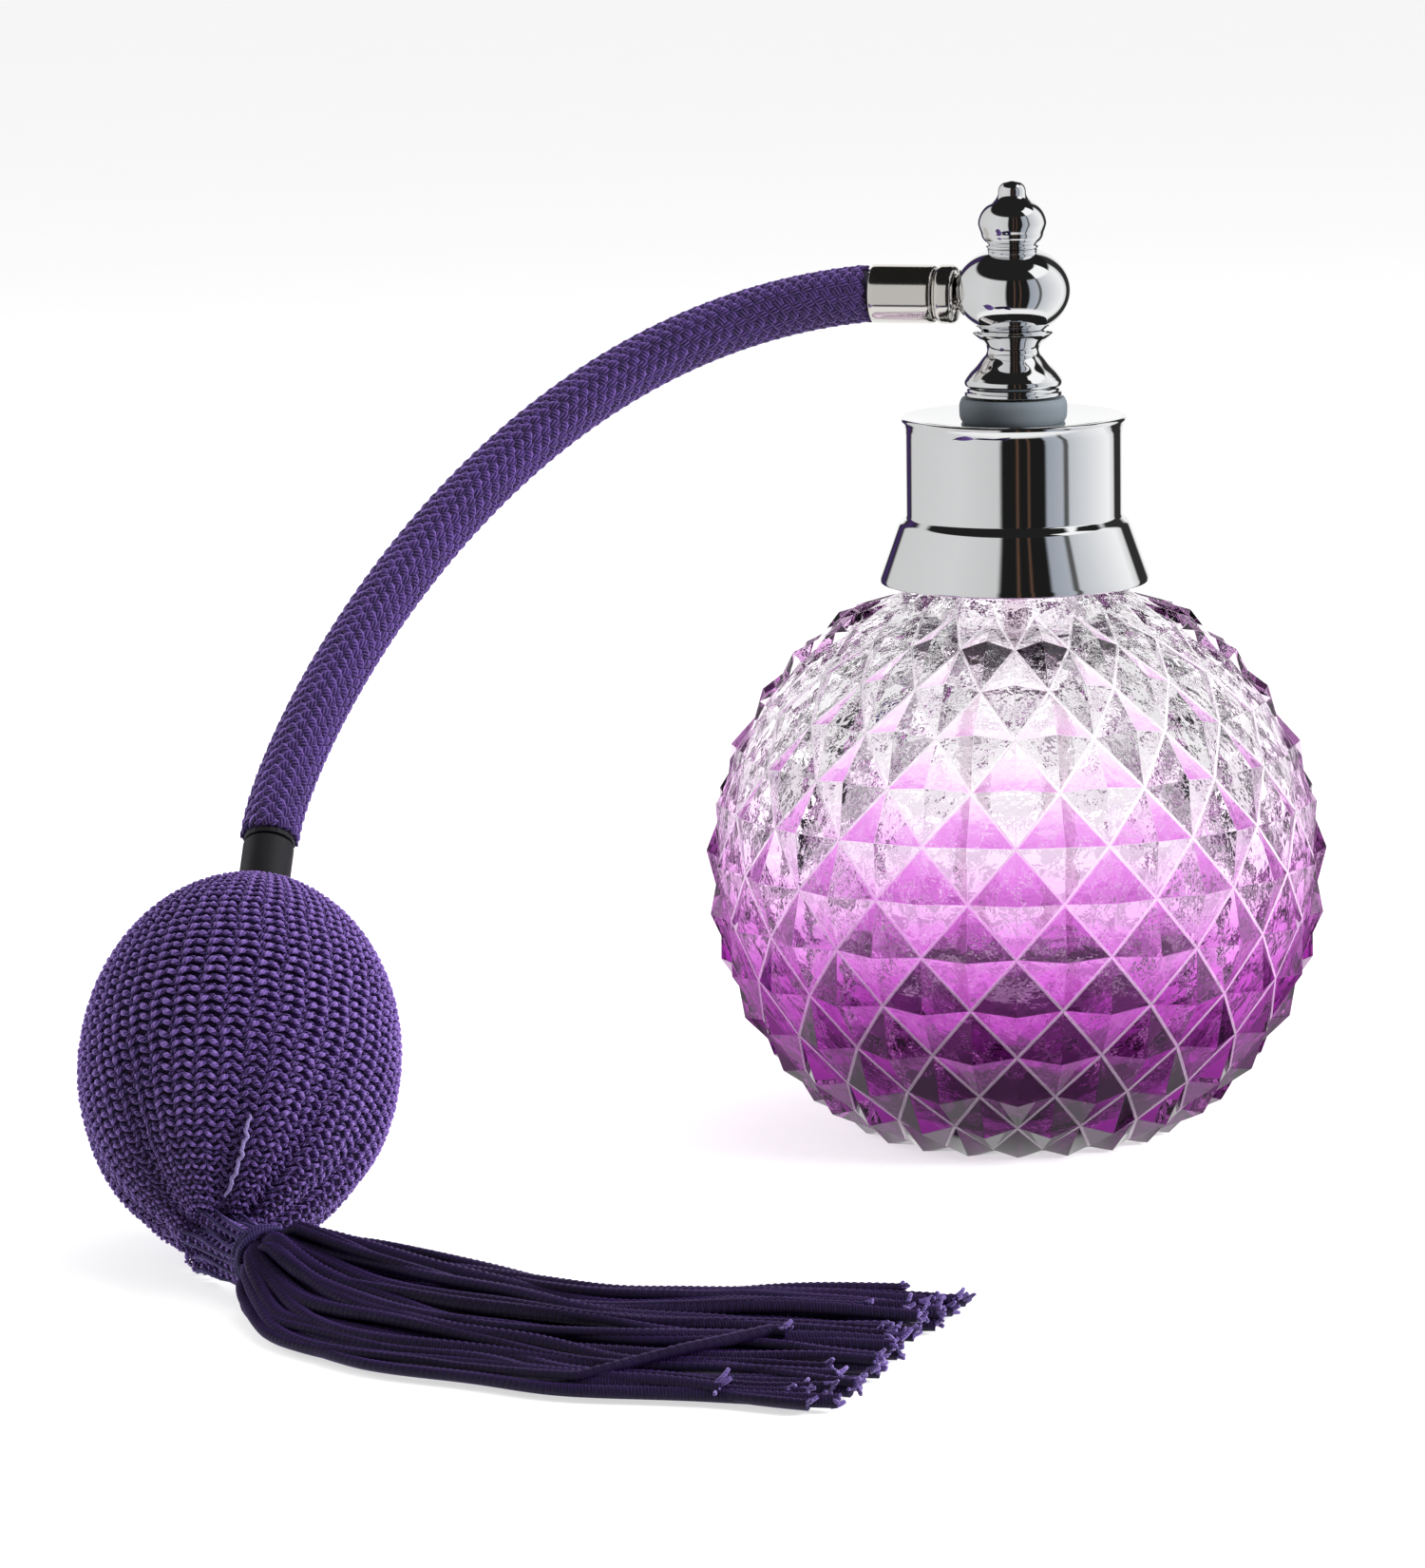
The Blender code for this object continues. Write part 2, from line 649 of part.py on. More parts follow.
def build():
    global parts, cutters
    clear_scene()
    parts = new_collection("perfume_bottle")
    cutters = new_collection("cutters")
    glass = material("glass", (0.45, 0.22, 0.55), 0.03, 0.0, 0.45)
    chrome = material("chrome", (0.82, 0.83, 0.85), 0.06, 1.0)
    nickel = material("nickel", (0.68, 0.64, 0.58), 0.22, 1.0)
    brass = material("brass", (0.75, 0.58, 0.30), 0.25, 1.0)
    steel = material("steel", (0.6, 0.6, 0.62), 0.15, 1.0)
    seal = material("seal", (0.17, 0.18, 0.21), 0.55)
    rubber = material("rubber", (0.02, 0.02, 0.022), 0.5)
    clear = material("tube", (0.85, 0.86, 0.88), 0.2, 0.0, 0.6)
    plastic = material("plastic", (0.75, 0.75, 0.76), 0.4)
    braid = material("braid", (0.05, 0.025, 0.14), 0.8)
    cords = material("cords", (0.03, 0.015, 0.09), 0.85)

    glass_bottle(glass)
    neck_plug(plastic)
    collar_shell(chrome)
    collar_insert(plastic)
    stem_group(brass, seal, clear)
    head_base(chrome)
    head_ball(chrome)
    jet_block(plastic)
    finial(chrome)
    inlet_pieces(brass, clear)
    hose_pieces(brass, nickel, rubber, braid)
    rubber_bulb(rubber)
    bulb_net(braid)
    bulb_fittings(brass, plastic, steel)
    net_tie(cords)
    tassel_cords(cords)


build()
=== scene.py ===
"""Looks of a perfume bottle with a squeeze-bulb sprayer: cut glass, chrome fittings, a braided hose, a
knitted net over the rubber bulb and a corded tassel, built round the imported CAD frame.

Driving sizes are in millimetres, and MM turns them into metres. Places come from the frame's boxes and
joints. Yarns and strands are laid on curved sheets (class Sheet), so each one is real geometry."""

import json
import math

import bmesh
import bpy
import numpy as np
from mathutils import Matrix, Vector


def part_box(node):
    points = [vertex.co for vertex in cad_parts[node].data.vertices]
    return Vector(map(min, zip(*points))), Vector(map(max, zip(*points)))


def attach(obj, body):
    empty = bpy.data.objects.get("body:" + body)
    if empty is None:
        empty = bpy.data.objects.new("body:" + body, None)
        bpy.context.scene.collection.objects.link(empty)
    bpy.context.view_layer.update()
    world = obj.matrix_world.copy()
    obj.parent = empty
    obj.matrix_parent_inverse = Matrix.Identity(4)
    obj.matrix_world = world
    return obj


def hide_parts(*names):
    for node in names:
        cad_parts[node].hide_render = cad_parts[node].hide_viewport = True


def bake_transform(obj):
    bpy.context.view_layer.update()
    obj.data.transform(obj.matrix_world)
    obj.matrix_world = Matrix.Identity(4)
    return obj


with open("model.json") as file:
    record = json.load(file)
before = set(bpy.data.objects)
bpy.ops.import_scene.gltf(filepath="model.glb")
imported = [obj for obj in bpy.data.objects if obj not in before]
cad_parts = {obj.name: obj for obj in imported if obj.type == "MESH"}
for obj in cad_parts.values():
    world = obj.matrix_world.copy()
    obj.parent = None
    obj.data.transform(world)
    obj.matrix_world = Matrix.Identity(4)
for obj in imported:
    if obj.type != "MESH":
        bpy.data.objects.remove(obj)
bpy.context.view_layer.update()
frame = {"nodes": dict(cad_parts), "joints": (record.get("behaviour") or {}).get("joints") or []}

MM = 0.001
TAU = math.tau
rng = np.random.default_rng(7)      # every random draw comes from here, so each run gives the same result

# ---- driving sizes, in millimetres

# Camera: right of the front, looking slightly down
VIEW_TURN = math.radians(12)
CAMERA_DISTANCE = 850
CAMERA_HEIGHT = 193
CAMERA_YAW = math.radians(2.627)
CAMERA_PITCH = math.radians(9.864)
CAMERA_ROLL = math.radians(0.8)
CAMERA_LENS = 153.96

# Yarn materials: fibres that twist round the yarn, per centimetre
FIBRE_TURNS = 26.0
FIBRES_AROUND = 3.0

# Cut globe: staggered rhombic cells, each a four-sided pyramid
GLOBE_Z = 34.0
TIP_R = 40.0
VALLEY_R = 38.4
CELLS_AROUND = 20
ROW_STEP = math.radians(10.35)
EQUATOR_ROW = math.radians(3.4)
LOWEST_ROW, HIGHEST_ROW = -6, 6
FIRST_CELL = -math.pi / 2 + math.radians(12)
BASE_R = 17.0
FOOT_GAP = 0.3
CAVITY_R, CAVITY_HALF_HEIGHT, CAVITY_Z = 32.0, 30.0, 35.0
NECK_R, BORE_R, NECK_FOOT, NECK_TOP = 10.8, 7.5, 72.6, 86.0
THREAD_DEPTH, THREAD_PITCH, THREAD_TURNS, THREAD_START = 0.8, 3.0, 2.6, 74.6
VALLEY_BEVEL = 0.22
RIDGE_BEVEL = 0.07
SPRAY_HEIGHT = 80.0             # the whole run of the spray's fade

# Hose and its braid
HOSE_R = 3.75
LINING_R = 2.95
HOSE_START_HANDLE = np.array([-50.0, 0.0, -5.5])
HOSE_END_HANDLE = 16.0
HOSE_END = 32.2                 # above the bulb's centre
HOSE_GAP = 0.8                  # between the ferrule's end and the start of the braid
BRAID_STRANDS = 11              # each way round
BRAID_REPEAT = 1.6

# Head
BALL_Z = 108.4

# Bulb and net
VALVE_DEPTH = 19.2              # the valve ball's distance from the bulb's centre
BULB_R = 19.4
BULB_HALF_LENGTH = 24.7
NET_DEPTH = 0.55                # yarn centres below the net's outside
RUBBER_DEPTH = 1.35
BULB_NECK_R = 3.15
BULB_NECK_TOP = 31.0
WALES = 38
MOUTH_ANGLE, TAIL_ANGLE = 9.5, 163      # degrees from the neck, where the net starts and leaves the bulb
BULB_ROWS, STALK_ROWS = 170, 70         # of the net's sheet, down the bulb and on into the tie
PLEATS_FROM, SHADE_SHEET_FROM = 104, 128     # rows where the pleats start and the dark sheet of painted shade starts
PLEAT_DEPTH = 3.0
TABLE_GAP = 0.75                # the least height of the net's yarn centres
STALK_R = 3.1
COURSE_PITCH = 1.36
TIE_HEADING = math.radians(-43)

joints = {joint["name"]: joint for joint in frame["joints"]}


def unit(v):
    v = np.asarray(v, float)
    return v / np.linalg.norm(v, axis=-1, keepdims=True)


def centre_of(node):
    low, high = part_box(node)
    return np.array((low + high) / 2) / MM


BULB_AXIS = unit(joints["valve_lift"]["axis"])
SQUEEZE_AXIS = unit(joints["bulb_squeeze"]["axis"])
BULB_CENTRE = centre_of("intake_valve_ball") + BULB_AXIS * VALVE_DEPTH
TIE_CENTRE = np.array(joints["tassel_swing"]["pos_m"]) / MM
HEADING = np.array([math.cos(TIE_HEADING), math.sin(TIE_HEADING), 0.0])
INLET_Z = joints["hose_swivel"]["pos_m"][2] / MM


# ---- shader nodes


def feed(tree, shader, inputs):
    """Fill a shader node's inputs. A socket is linked, and anything else is the input's value."""
    for key, value in inputs.items():
        if isinstance(value, bpy.types.NodeSocket):
            tree.links.new(value, shader.inputs[key])
        else:
            shader.inputs[key].default_value = value


def node(tree, kind, inputs=None, **settings):
    made = tree.nodes.new("ShaderNode" + kind)
    for name, value in settings.items():
        setattr(made, name, value)
    feed(tree, made, inputs or {})
    return made


def maths(tree, operation, a, b=0.0, c=0.0):
    return node(tree, "Math", {0: a, 1: b, 2: c}, operation=operation).outputs[0]


def times(tree, a, b):
    return maths(tree, "MULTIPLY", a, b)


def plus(tree, a, b):
    return maths(tree, "ADD", a, b)


def one_minus(tree, a):
    return maths(tree, "SUBTRACT", 1.0, a)


def mix(tree, share, a, b):
    return node(tree, "MixRGB", {"Fac": share, "Color1": a, "Color2": b}).outputs["Color"]


def rgba(colour):
    if isinstance(colour, (int, float)):
        colour = (colour, colour, colour)
    return (*colour, 1.0)


def ramp(tree, position, stops):
    """Colours from (place, colour) stops. Places are set twice, since Blender sorts the stops by place."""
    made = node(tree, "ValToRGB", {"Fac": position})
    elements = made.color_ramp.elements
    while len(elements) < len(stops):
        elements.new(1.0)
    for element, (place, colour) in zip(elements, stops):
        element.position = place
    for element, (place, colour) in zip(elements, stops):
        element.position = place
        element.color = rgba(colour)
    return made.outputs["Color"]


def between(tree, value, low, high):
    """0 below low, 1 above high, smooth in between."""
    return node(tree, "MapRange", {"Value": value, "From Min": low, "From Max": high},
                interpolation_type="SMOOTHSTEP").outputs["Result"]


def noise(tree, vector, scale, detail=2.0, roughness=0.5):
    return node(tree, "TexNoise", {
        "Vector": vector, "Scale": scale, "Detail": detail, "Roughness": roughness,
    }).outputs["Fac"]


def new_material(name):
    material = bpy.data.materials.new(name)
    material.use_nodes = True
    tree = material.node_tree
    return material, tree, tree.nodes["Principled BSDF"]


def local(tree):
    return node(tree, "TexCoord").outputs["Object"]


def bump(tree, height, strength, distance):
    made = node(tree, "Bump", {"Height": height, "Strength": strength, "Distance": distance})
    return made.outputs["Normal"]


# ---- materials


def metal(name, colour, roughness, scratch=0.02):
    """Polished metal: faint cloudiness in its roughness and hair-fine marks."""
    material, tree, shader = new_material(name)
    where = local(tree)
    cloud = noise(tree, where, 120.0, 3.0)
    marks = noise(tree, where, 1500.0, 4.0, 0.6)
    rough = maths(tree, "MULTIPLY_ADD", cloud, scratch, roughness)
    shade = mix(tree, cloud, rgba([c * 0.96 for c in colour]), rgba(colour))
    feed(tree, shader, {
        "Base Color": shade, "Metallic": 1.0, "Roughness": rough,
        "Normal": bump(tree, marks, 0.04, 0.00002),
    })
    return material


def plastic(name, colour, roughness):
    """Moulded plastic or rubber with a fine eggshell grain."""
    material, tree, shader = new_material(name)
    where = local(tree)
    grain = noise(tree, where, 2600.0, 3.0)
    cloud = noise(tree, where, 90.0, 3.0)
    feed(tree, shader, {
        "Base Color": mix(tree, cloud, rgba([c * 0.85 for c in colour]), rgba([c * 1.1 for c in colour])),
        "Roughness": node(tree, "MapRange", {
            "Value": grain, "To Min": roughness * 0.85, "To Max": min(1.0, roughness * 1.15),
        }).outputs["Result"],
        "IOR": 1.45,
        "Normal": bump(tree, grain, 0.15, 0.00003),
    })
    return material


def yarn(name, deep, mid, lit, sheen=0.5):
    """Dyed yarn: twisted fibres, uneven dye, and a painted sheen that makes it paler where it is seen edge
    on. Its mesh gives, as the attribute "thread", the length along (centimetres), the place round, and a
    level of its own that shifts the tone: high for a painted highlight on a crest, low for painted shade in
    a hollow."""
    material, tree, shader = new_material(name)
    thread = node(tree, "Attribute", attribute_name="thread").outputs["Vector"]
    along, around, level = node(tree, "SeparateXYZ", {"Vector": thread}).outputs
    twist = plus(tree, times(tree, along, FIBRE_TURNS), times(tree, around, FIBRES_AROUND))
    strands = maths(tree, "SINE", times(tree, twist, TAU))
    where = local(tree)
    dye = noise(tree, where, 260.0, 4.0, 0.6)
    fuzz = noise(tree, where, 5200.0, 2.0)
    # uneven dye, shifted by the level: painted highlight on crests and painted shade in hollows
    dye_and_painted_light = between(tree, plus(tree, dye, times(tree, level, 0.35)), 0.35, 0.95)
    # painted sheen: the yarn is painted paler where it is seen edge on
    edge = node(tree, "LayerWeight", {"Blend": 0.35}).outputs["Facing"]
    shade = mix(tree, dye_and_painted_light, rgba(deep), rgba(mid))
    # mixes towards the lit colour: the fibre twist, the painted crest highlight (level) and the painted
    # sheen (edge)
    for value, low, high, strength in (
            (strands, -0.2, 1.0, 0.35), (level, 1.1, 2.3, 0.36), (edge, 0.25, 0.95, 0.75)):
        shade = mix(tree, times(tree, between(tree, value, low, high), strength), shade, rgba(lit))
    height = plus(tree, times(tree, strands, 0.6), fuzz)
    feed(tree, shader, {
        "Base Color": shade, "Roughness": 0.62, "Specular IOR Level": 0.35,
        "Sheen Weight": sheen, "Sheen Roughness": 0.45, "Sheen Tint": rgba(lit),
        "Normal": bump(tree, height, 0.5, 0.00006),
    })
    return material


def spray(tree, where):
    """Violet sprayed on from below, which fades out patchily above the middle of the globe."""
    height = node(tree, "SeparateXYZ", {"Vector": where}).outputs["Z"]
    patchy = maths(tree, "SUBTRACT", noise(tree, where, 60.0, 3.0), 0.5)
    level = plus(tree, times(tree, height, 1 / (SPRAY_HEIGHT * MM)), times(tree, patchy, 0.10))
    return ramp(tree, level, [
        (0.00, (0.12, 0.006, 0.13)), (0.10, (0.22, 0.012, 0.23)), (0.21, (0.38, 0.035, 0.39)),
        (0.29, (0.52, 0.10, 0.53)), (0.36, (0.68, 0.27, 0.69)), (0.44, (0.84, 0.50, 0.84)),
        (0.51, (0.92, 0.68, 0.93)), (0.59, (0.98, 0.87, 0.98)), (0.68, (1.0, 0.965, 1.0)),
        (1.0, (1.0, 1.0, 1.0)),
    ])


def cut_glass(name, pale=False):
    """Sprayed crown glass. Facets seen edge on are deeper in colour. The pale kind, for the valleys between
    the cuts, has less spray and a whitish diffuse part, a painted highlight for the light that the rounded
    valleys catch."""
    material, tree, shader = new_material(name)
    where = local(tree)
    tint = spray(tree, where)
    if pale:
        tint = mix(tree, 0.35, tint, rgba((1.0, 0.93, 1.0)))
    else:
        edge = node(tree, "LayerWeight", {"Blend": 0.5}).outputs["Facing"]
        twice = node(tree, "MixRGB", {"Fac": 1.0, "Color1": tint, "Color2": tint}, blend_type="MULTIPLY")
        tint = mix(tree, between(tree, edge, 0.10, 0.80), tint, twice.outputs["Color"])
    ripple = noise(tree, where, 900.0)
    feed(tree, shader, {
        "Base Color": tint, "Roughness": 0.0, "IOR": 1.5, "Transmission Weight": 1.0,
        "Specular Tint": mix(tree, 0.8, rgba(1.0), tint), "Normal": bump(tree, ripple, 0.05, 0.00002),
    })
    if pale:
        # painted highlight: a whitish diffuse part for the light that the valleys catch
        painted_valley_highlight = node(tree, "BsdfDiffuse", {"Color": mix(tree, 0.4, tint, rgba((1.0, 0.96, 1.0)))})
        shader = node(tree, "MixShader", {0: 0.22, 1: shader.outputs["BSDF"], 2: painted_valley_highlight.outputs["BSDF"]})
    see_through(tree, shader, tint)
    return material


def clear_glass(name, colour=(1.0, 1.0, 1.0), wave=0.0, ior=1.5):
    """Unsprayed glass or clear plastic. The wave, in millimetres, breaks up what is seen through it."""
    material, tree, shader = new_material(name)
    where = local(tree)
    ripple = noise(tree, where, 360.0, 3.0)
    tint = mix(tree, noise(tree, where, 50.0), rgba(colour), rgba([c * 0.985 for c in colour]))
    feed(tree, shader, {
        "Base Color": tint, "Roughness": 0.0, "IOR": ior, "Transmission Weight": 1.0,
        "Normal": bump(tree, ripple, 1.0, 0.00002 + wave * MM),
    })
    see_through(tree, shader, tint)
    return material


def see_through(tree, shader, tint):
    """Shadow rays pass straight through, tinted, so that light reaches what is behind the glass."""
    clear = node(tree, "BsdfTransparent", {"Color": tint})
    shadow = node(tree, "LightPath").outputs["Is Shadow Ray"]
    both = node(tree, "MixShader", {0: shadow, 1: shader.outputs[0], 2: clear.outputs["BSDF"]})
    tree.links.new(both.outputs["Shader"], tree.nodes["Material Output"].inputs["Surface"])


# ---- meshes


def put_in_scene(name, data):
    made = bpy.data.objects.new(name, data)
    bpy.context.scene.collection.objects.link(made)
    return made


def smooth(mesh):
    mesh.polygons.foreach_set("use_smooth", np.ones(len(mesh.polygons), bool))


def fit(piece, body, cad_node):
    """The piece moves with a body and is shown in place of a CAD node."""
    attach(piece, body)
    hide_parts(cad_node)


def mesh_piece(name, points, faces, materials, thread=None, sharp=None):
    """An object from points in millimetres."""
    mesh = bpy.data.meshes.new(name)
    mesh.from_pydata((np.asarray(points).reshape(-1, 3) * MM).tolist(), [], faces)
    smooth(mesh)
    if thread is not None:
        attribute = mesh.attributes.new("thread", "FLOAT_VECTOR", "POINT")
        attribute.data.foreach_set("vector", np.asarray(thread, np.float32).ravel())
    for material in materials:
        mesh.materials.append(material)
    mesh.update()
    if sharp is not None:
        mesh.set_sharp_from_angle(angle=math.radians(sharp))
    return put_in_scene(name, mesh)


def tube_faces(tubes, rings, around, closed=False):
    """Faces of equal tubes whose points come in the order tube, ring, place in the ring."""
    t = np.arange(tubes)[:, None, None] * rings * around
    last = rings if closed else rings - 1
    r = np.arange(last)[None, :, None]
    k = np.arange(around)[None, None, :]
    ahead = (r + 1) % rings
    beside = (k + 1) % around
    quads = np.stack([t + r * around + k, t + r * around + beside,
                      t + ahead * around + beside, t + ahead * around + k], -1).reshape(-1, 4).tolist()
    if closed:
        return quads
    t = t.reshape(-1, 1)
    foot = (t + np.arange(around)[::-1]).tolist()
    head = (t + (rings - 1) * around + np.arange(around)).tolist()
    return quads + foot + head


def turned(name, profile, material, matrix=None, segments=128, ring=True):
    """Turn a profile of (radius, height) points about the matrix's Z axis. A ring is closed on itself;
    otherwise both ends lie on the axis."""
    profile = np.asarray(profile, float)
    angle = TAU * np.arange(segments) / segments
    points = np.stack([
        profile[:, :1] * np.cos(angle), profile[:, :1] * np.sin(angle),
        np.repeat(profile[:, 1:], segments, 1),
    ], -1)
    if matrix is not None:
        points = points @ np.array(matrix.to_3x3()).T + np.array(matrix.translation)
    piece = mesh_piece(name, points, tube_faces(1, len(profile), segments, ring), [material])
    bm = bmesh.new()
    bm.from_mesh(piece.data)
    bmesh.ops.remove_doubles(bm, verts=bm.verts, dist=1e-7)
    bmesh.ops.dissolve_degenerate(bm, dist=1e-8, edges=bm.edges)
    bmesh.ops.recalc_face_normals(bm, faces=bm.faces)
    bm.to_mesh(piece.data)
    bm.free()
    piece.data.set_sharp_from_angle(angle=math.radians(35))
    return piece


def stand(centre, direction):
    """Matrix that puts Z along a direction, at a centre in millimetres."""
    turn = Vector(direction).to_track_quat("Z", "Y").to_matrix().to_4x4()
    return Matrix.Translation(Vector(centre)) @ turn


def arc(x, y, rx, ry, first, last, steps):
    """Points on part of an ellipse about (x, y), between two angles in degrees."""
    angles = np.radians(np.linspace(first, last, steps + 1))
    return [(x + rx * math.cos(a), y + ry * math.sin(a)) for a in angles]


def curve(points, steps=6):
    """Smooth line through the points (Catmull-Rom)."""
    p = np.asarray(points, float)
    p = np.vstack([2 * p[0] - p[1], p, 2 * p[-1] - p[-2]])
    t = np.arange(steps)[:, None] / steps
    run = []
    for a, b, c, d in zip(p[:-3], p[1:-2], p[2:-1], p[3:]):
        run.append(0.5 * (2 * b + (c - a) * t + (2 * a - 5 * b + 4 * c - d) * t**2
                          + (3 * b - a - 3 * c + d) * t**3))
    run.append(p[-2:-1])
    return [tuple(q) for q in np.vstack(run)]


def rounded(points, radius, steps=4):
    """The same outline with each inner corner rounded off."""
    p = [np.asarray(q, float) for q in points]
    out = [tuple(p[0])]
    for a, b, c in zip(p[:-2], p[1:-1], p[2:]):
        before, after = a - b, c - b
        reach = min(radius, 0.45 * np.linalg.norm(before), 0.45 * np.linalg.norm(after))
        start, end = b + unit(before) * reach, b + unit(after) * reach
        for t in np.linspace(0, 1, steps + 1):
            out.append(tuple((1 - t) ** 2 * start + 2 * t * (1 - t) * b + t * t * end))
    out.append(tuple(p[-1]))
    return out


def bezier(controls, t):
    """Points on a cubic Bezier at the shares t."""
    a, b, c, d = (np.asarray(q, float) for q in controls)
    t = np.asarray(t, float)[:, None]
    return (1 - t) ** 3 * a + 3 * (1 - t) ** 2 * t * b + 3 * (1 - t) * t**2 * c + t**3 * d


def even_steps(path, count):
    """The path again, as points the same distance apart."""
    reach = np.concatenate([[0], np.cumsum(np.linalg.norm(np.diff(path, axis=0), axis=1))])
    places = np.linspace(0, reach[-1], count)
    return np.stack([np.interp(places, reach, path[:, i]) for i in range(3)], 1), reach[-1]


def sides_along(path, first):
    """Unit side and up vectors along a path, turned no more than the path turns."""
    ahead = unit(np.gradient(path, axis=0))
    side, sides = np.asarray(first, float), []
    for direction in ahead:
        side = unit(side - direction * (side @ direction))
        sides.append(side)
    sides = np.array(sides)
    return sides, np.cross(sides, ahead)


class Sheet:
    """A curved sheet: rows of points run along it, and columns go round it and close up."""

    def __init__(self, grid):
        self.grid = grid
        along = np.gradient(grid, axis=0)
        across = np.roll(grid, -1, 1) - np.roll(grid, 1, 1)
        self.normal = unit(np.cross(across, along))
        middle = grid.mean(axis=1, keepdims=True)
        if ((self.normal * (grid - middle)).sum(-1)).mean() < 0:
            self.normal = -self.normal

    def at(self, u, v):
        """Points and outward normals at u turns round, v of the way along."""
        rows, columns = self.grid.shape[:2]
        y = np.clip(v, 0, 1) * (rows - 1)
        i = np.minimum(y.astype(int), rows - 2)
        x = (u % 1.0) * columns
        j = np.minimum(x.astype(int), columns - 1)
        k = (j + 1) % columns
        y, x = (y - i)[..., None], (x - j)[..., None]

        def read(g):
            near = g[i, j] * (1 - x) + g[i, k] * x
            far = g[i + 1, j] * (1 - x) + g[i + 1, k] * x
            return near * (1 - y) + far * y

        return read(self.grid), unit(read(self.normal))


def lay(sheet, u, v, lift, width, thickness, around):
    """Yarns on a sheet. u, v, lift and the half sizes are arrays of (yarn, point along it)."""
    place, normal = sheet.at(u, v)
    middle = place + normal * lift[..., None]
    ahead = unit(np.gradient(middle, axis=1))
    side = unit(np.cross(normal, ahead))
    up = np.cross(ahead, side)
    angle = TAU * np.arange(around) / around
    across = (width[..., None] * np.cos(angle))[..., None] * side[:, :, None]
    out = (thickness[..., None] * np.sin(angle))[..., None] * up[:, :, None]
    return middle[:, :, None] + across + out


def thread_marks(count, rings, around, length, level):
    """The attribute that yarn materials read, for yarns of one length in millimetres."""
    marks = np.empty((count, rings, around, 3))
    marks[..., 0] = (np.linspace(0, 1, rings) * length / 10)[None, :, None]
    marks[..., 1] = (np.arange(around) / around)[None, None, :]
    marks[..., 2] = level[:, None, None]
    return marks


def yarns(name, points, length, level, material):
    count, rings, around = points.shape[:3]
    return mesh_piece(name, points, tube_faces(count, rings, around), [material],
                      thread_marks(count, rings, around, length, level))


# ---- glass


def on_circle(radius, angle, z):
    """A point in metres, from a radius and height in millimetres."""
    return Vector((radius * math.cos(angle), radius * math.sin(angle), z)) * MM


def globe_point(row, half_cells, radius):
    latitude = EQUATOR_ROW + row * ROW_STEP
    half_step = math.pi / CELLS_AROUND
    longitude = FIRST_CELL + (half_cells + (row % 2 == 0)) * half_step
    return on_circle(radius * math.cos(latitude), longitude, GLOBE_Z + radius * math.sin(latitude))


def cut_pattern(bm):
    """The pyramids. Returns the lowest and highest rings of points, in angle order, and the set of
    valley corners."""
    rows = range(LOWEST_ROW, HIGHEST_ROW + 1)
    corners, tips = {}, {}
    for row in rows:
        tip_r = TIP_R
        if row == HIGHEST_ROW:
            tip_r = VALLEY_R
        if row == LOWEST_ROW:
            tip_r = (GLOBE_Z - FOOT_GAP) / math.sin(-(EQUATOR_ROW + row * ROW_STEP))
        for k in range(CELLS_AROUND):
            corners[row, k] = bm.verts.new(globe_point(row, 2 * k, VALLEY_R))
            tips[row, k] = bm.verts.new(globe_point(row, 2 * k + 1, tip_r))
    for row in rows:
        shift = 0 if row % 2 else 1
        for k in range(CELLS_AROUND):
            left, right = corners[row, k], corners[row, (k + 1) % CELLS_AROUND]
            tip = tips[row, k]
            beside = (k + shift) % CELLS_AROUND
            if row > LOWEST_ROW:
                below = corners[row - 1, beside]
                bm.faces.new((left, below, tip))
                bm.faces.new((below, right, tip))
            if row < HIGHEST_ROW:
                above = corners[row + 1, beside]
                bm.faces.new((right, above, tip))
                bm.faces.new((above, left, tip))

    def ring(row):
        verts = [v for k in range(CELLS_AROUND) for v in (corners[row, k], tips[row, k])]
        return verts if row % 2 else verts[-1:] + verts[:-1]

    return ring(LOWEST_ROW), ring(HIGHEST_ROW), set(corners.values())


def thread_height(angle, z):
    """Share of the thread's full depth at a place on the neck. Both of its ends fade out."""
    best = 0.0
    for turn in range(math.ceil(THREAD_TURNS) + 1):
        travel = angle / TAU + turn
        if travel <= THREAD_TURNS:
            offset = abs(z - THREAD_START - THREAD_PITCH * travel)
            fade = min(1.0, travel / 0.15, (THREAD_TURNS - travel) / 0.15)
            best = max(best, fade * min(1.0, max(0.0, (1.25 - offset) / 0.6)))
    return best


def neck_and_cavity():
    """(radius, height, threaded, inside) of the rings above the pattern, down into the cavity."""
    rings = [(12.6, 71.2, False, False), (NECK_R, NECK_FOOT, False, False)]
    for z in np.linspace(NECK_FOOT + 0.8, NECK_TOP - 0.8, 28):
        rings.append((NECK_R, z, True, False))
    rings += [(NECK_R - 0.3, NECK_TOP - 0.1, False, False), (NECK_R - 0.6, NECK_TOP, False, False)]
    rings += [(BORE_R + 0.4, NECK_TOP, False, True), (BORE_R, NECK_TOP - 0.5, False, True)]
    rings += [(BORE_R, 68.5, False, True), (BORE_R + 0.3, 67.0, False, True)]
    for r, z in arc(0, CAVITY_Z, CAVITY_R, CAVITY_HALF_HEIGHT, 72, -88, 34):
        rings.append((r, z, False, True))
    return rings


def neck_skin(bm, previous):
    """From the pattern's highest ring up the neck, over the lip and down through the cavity."""
    coarse = 2 * CELLS_AROUND
    fine = 3 * coarse
    for r, z, threaded, inner in neck_and_cavity():
        ring = []
        for i in range(fine):
            angle = (FIRST_CELL + TAU * i / fine) % TAU
            radius = r + (THREAD_DEPTH * thread_height(angle, z) if threaded else 0.0)
            ring.append(bm.verts.new(on_circle(radius, angle, z)))
        if len(previous) == coarse:
            for i in range(coarse):
                bm.faces.new([previous[i], previous[(i + 1) % coarse]]
                             + [ring[(3 * i + j) % fine] for j in (3, 2, 1, 0)])
        else:
            for i in range(fine):
                j = (i + 1) % fine
                bm.faces.new((previous[i], previous[j], ring[j], ring[i])).material_index = int(inner)
        previous = ring
    bm.faces.new(previous).material_index = 1


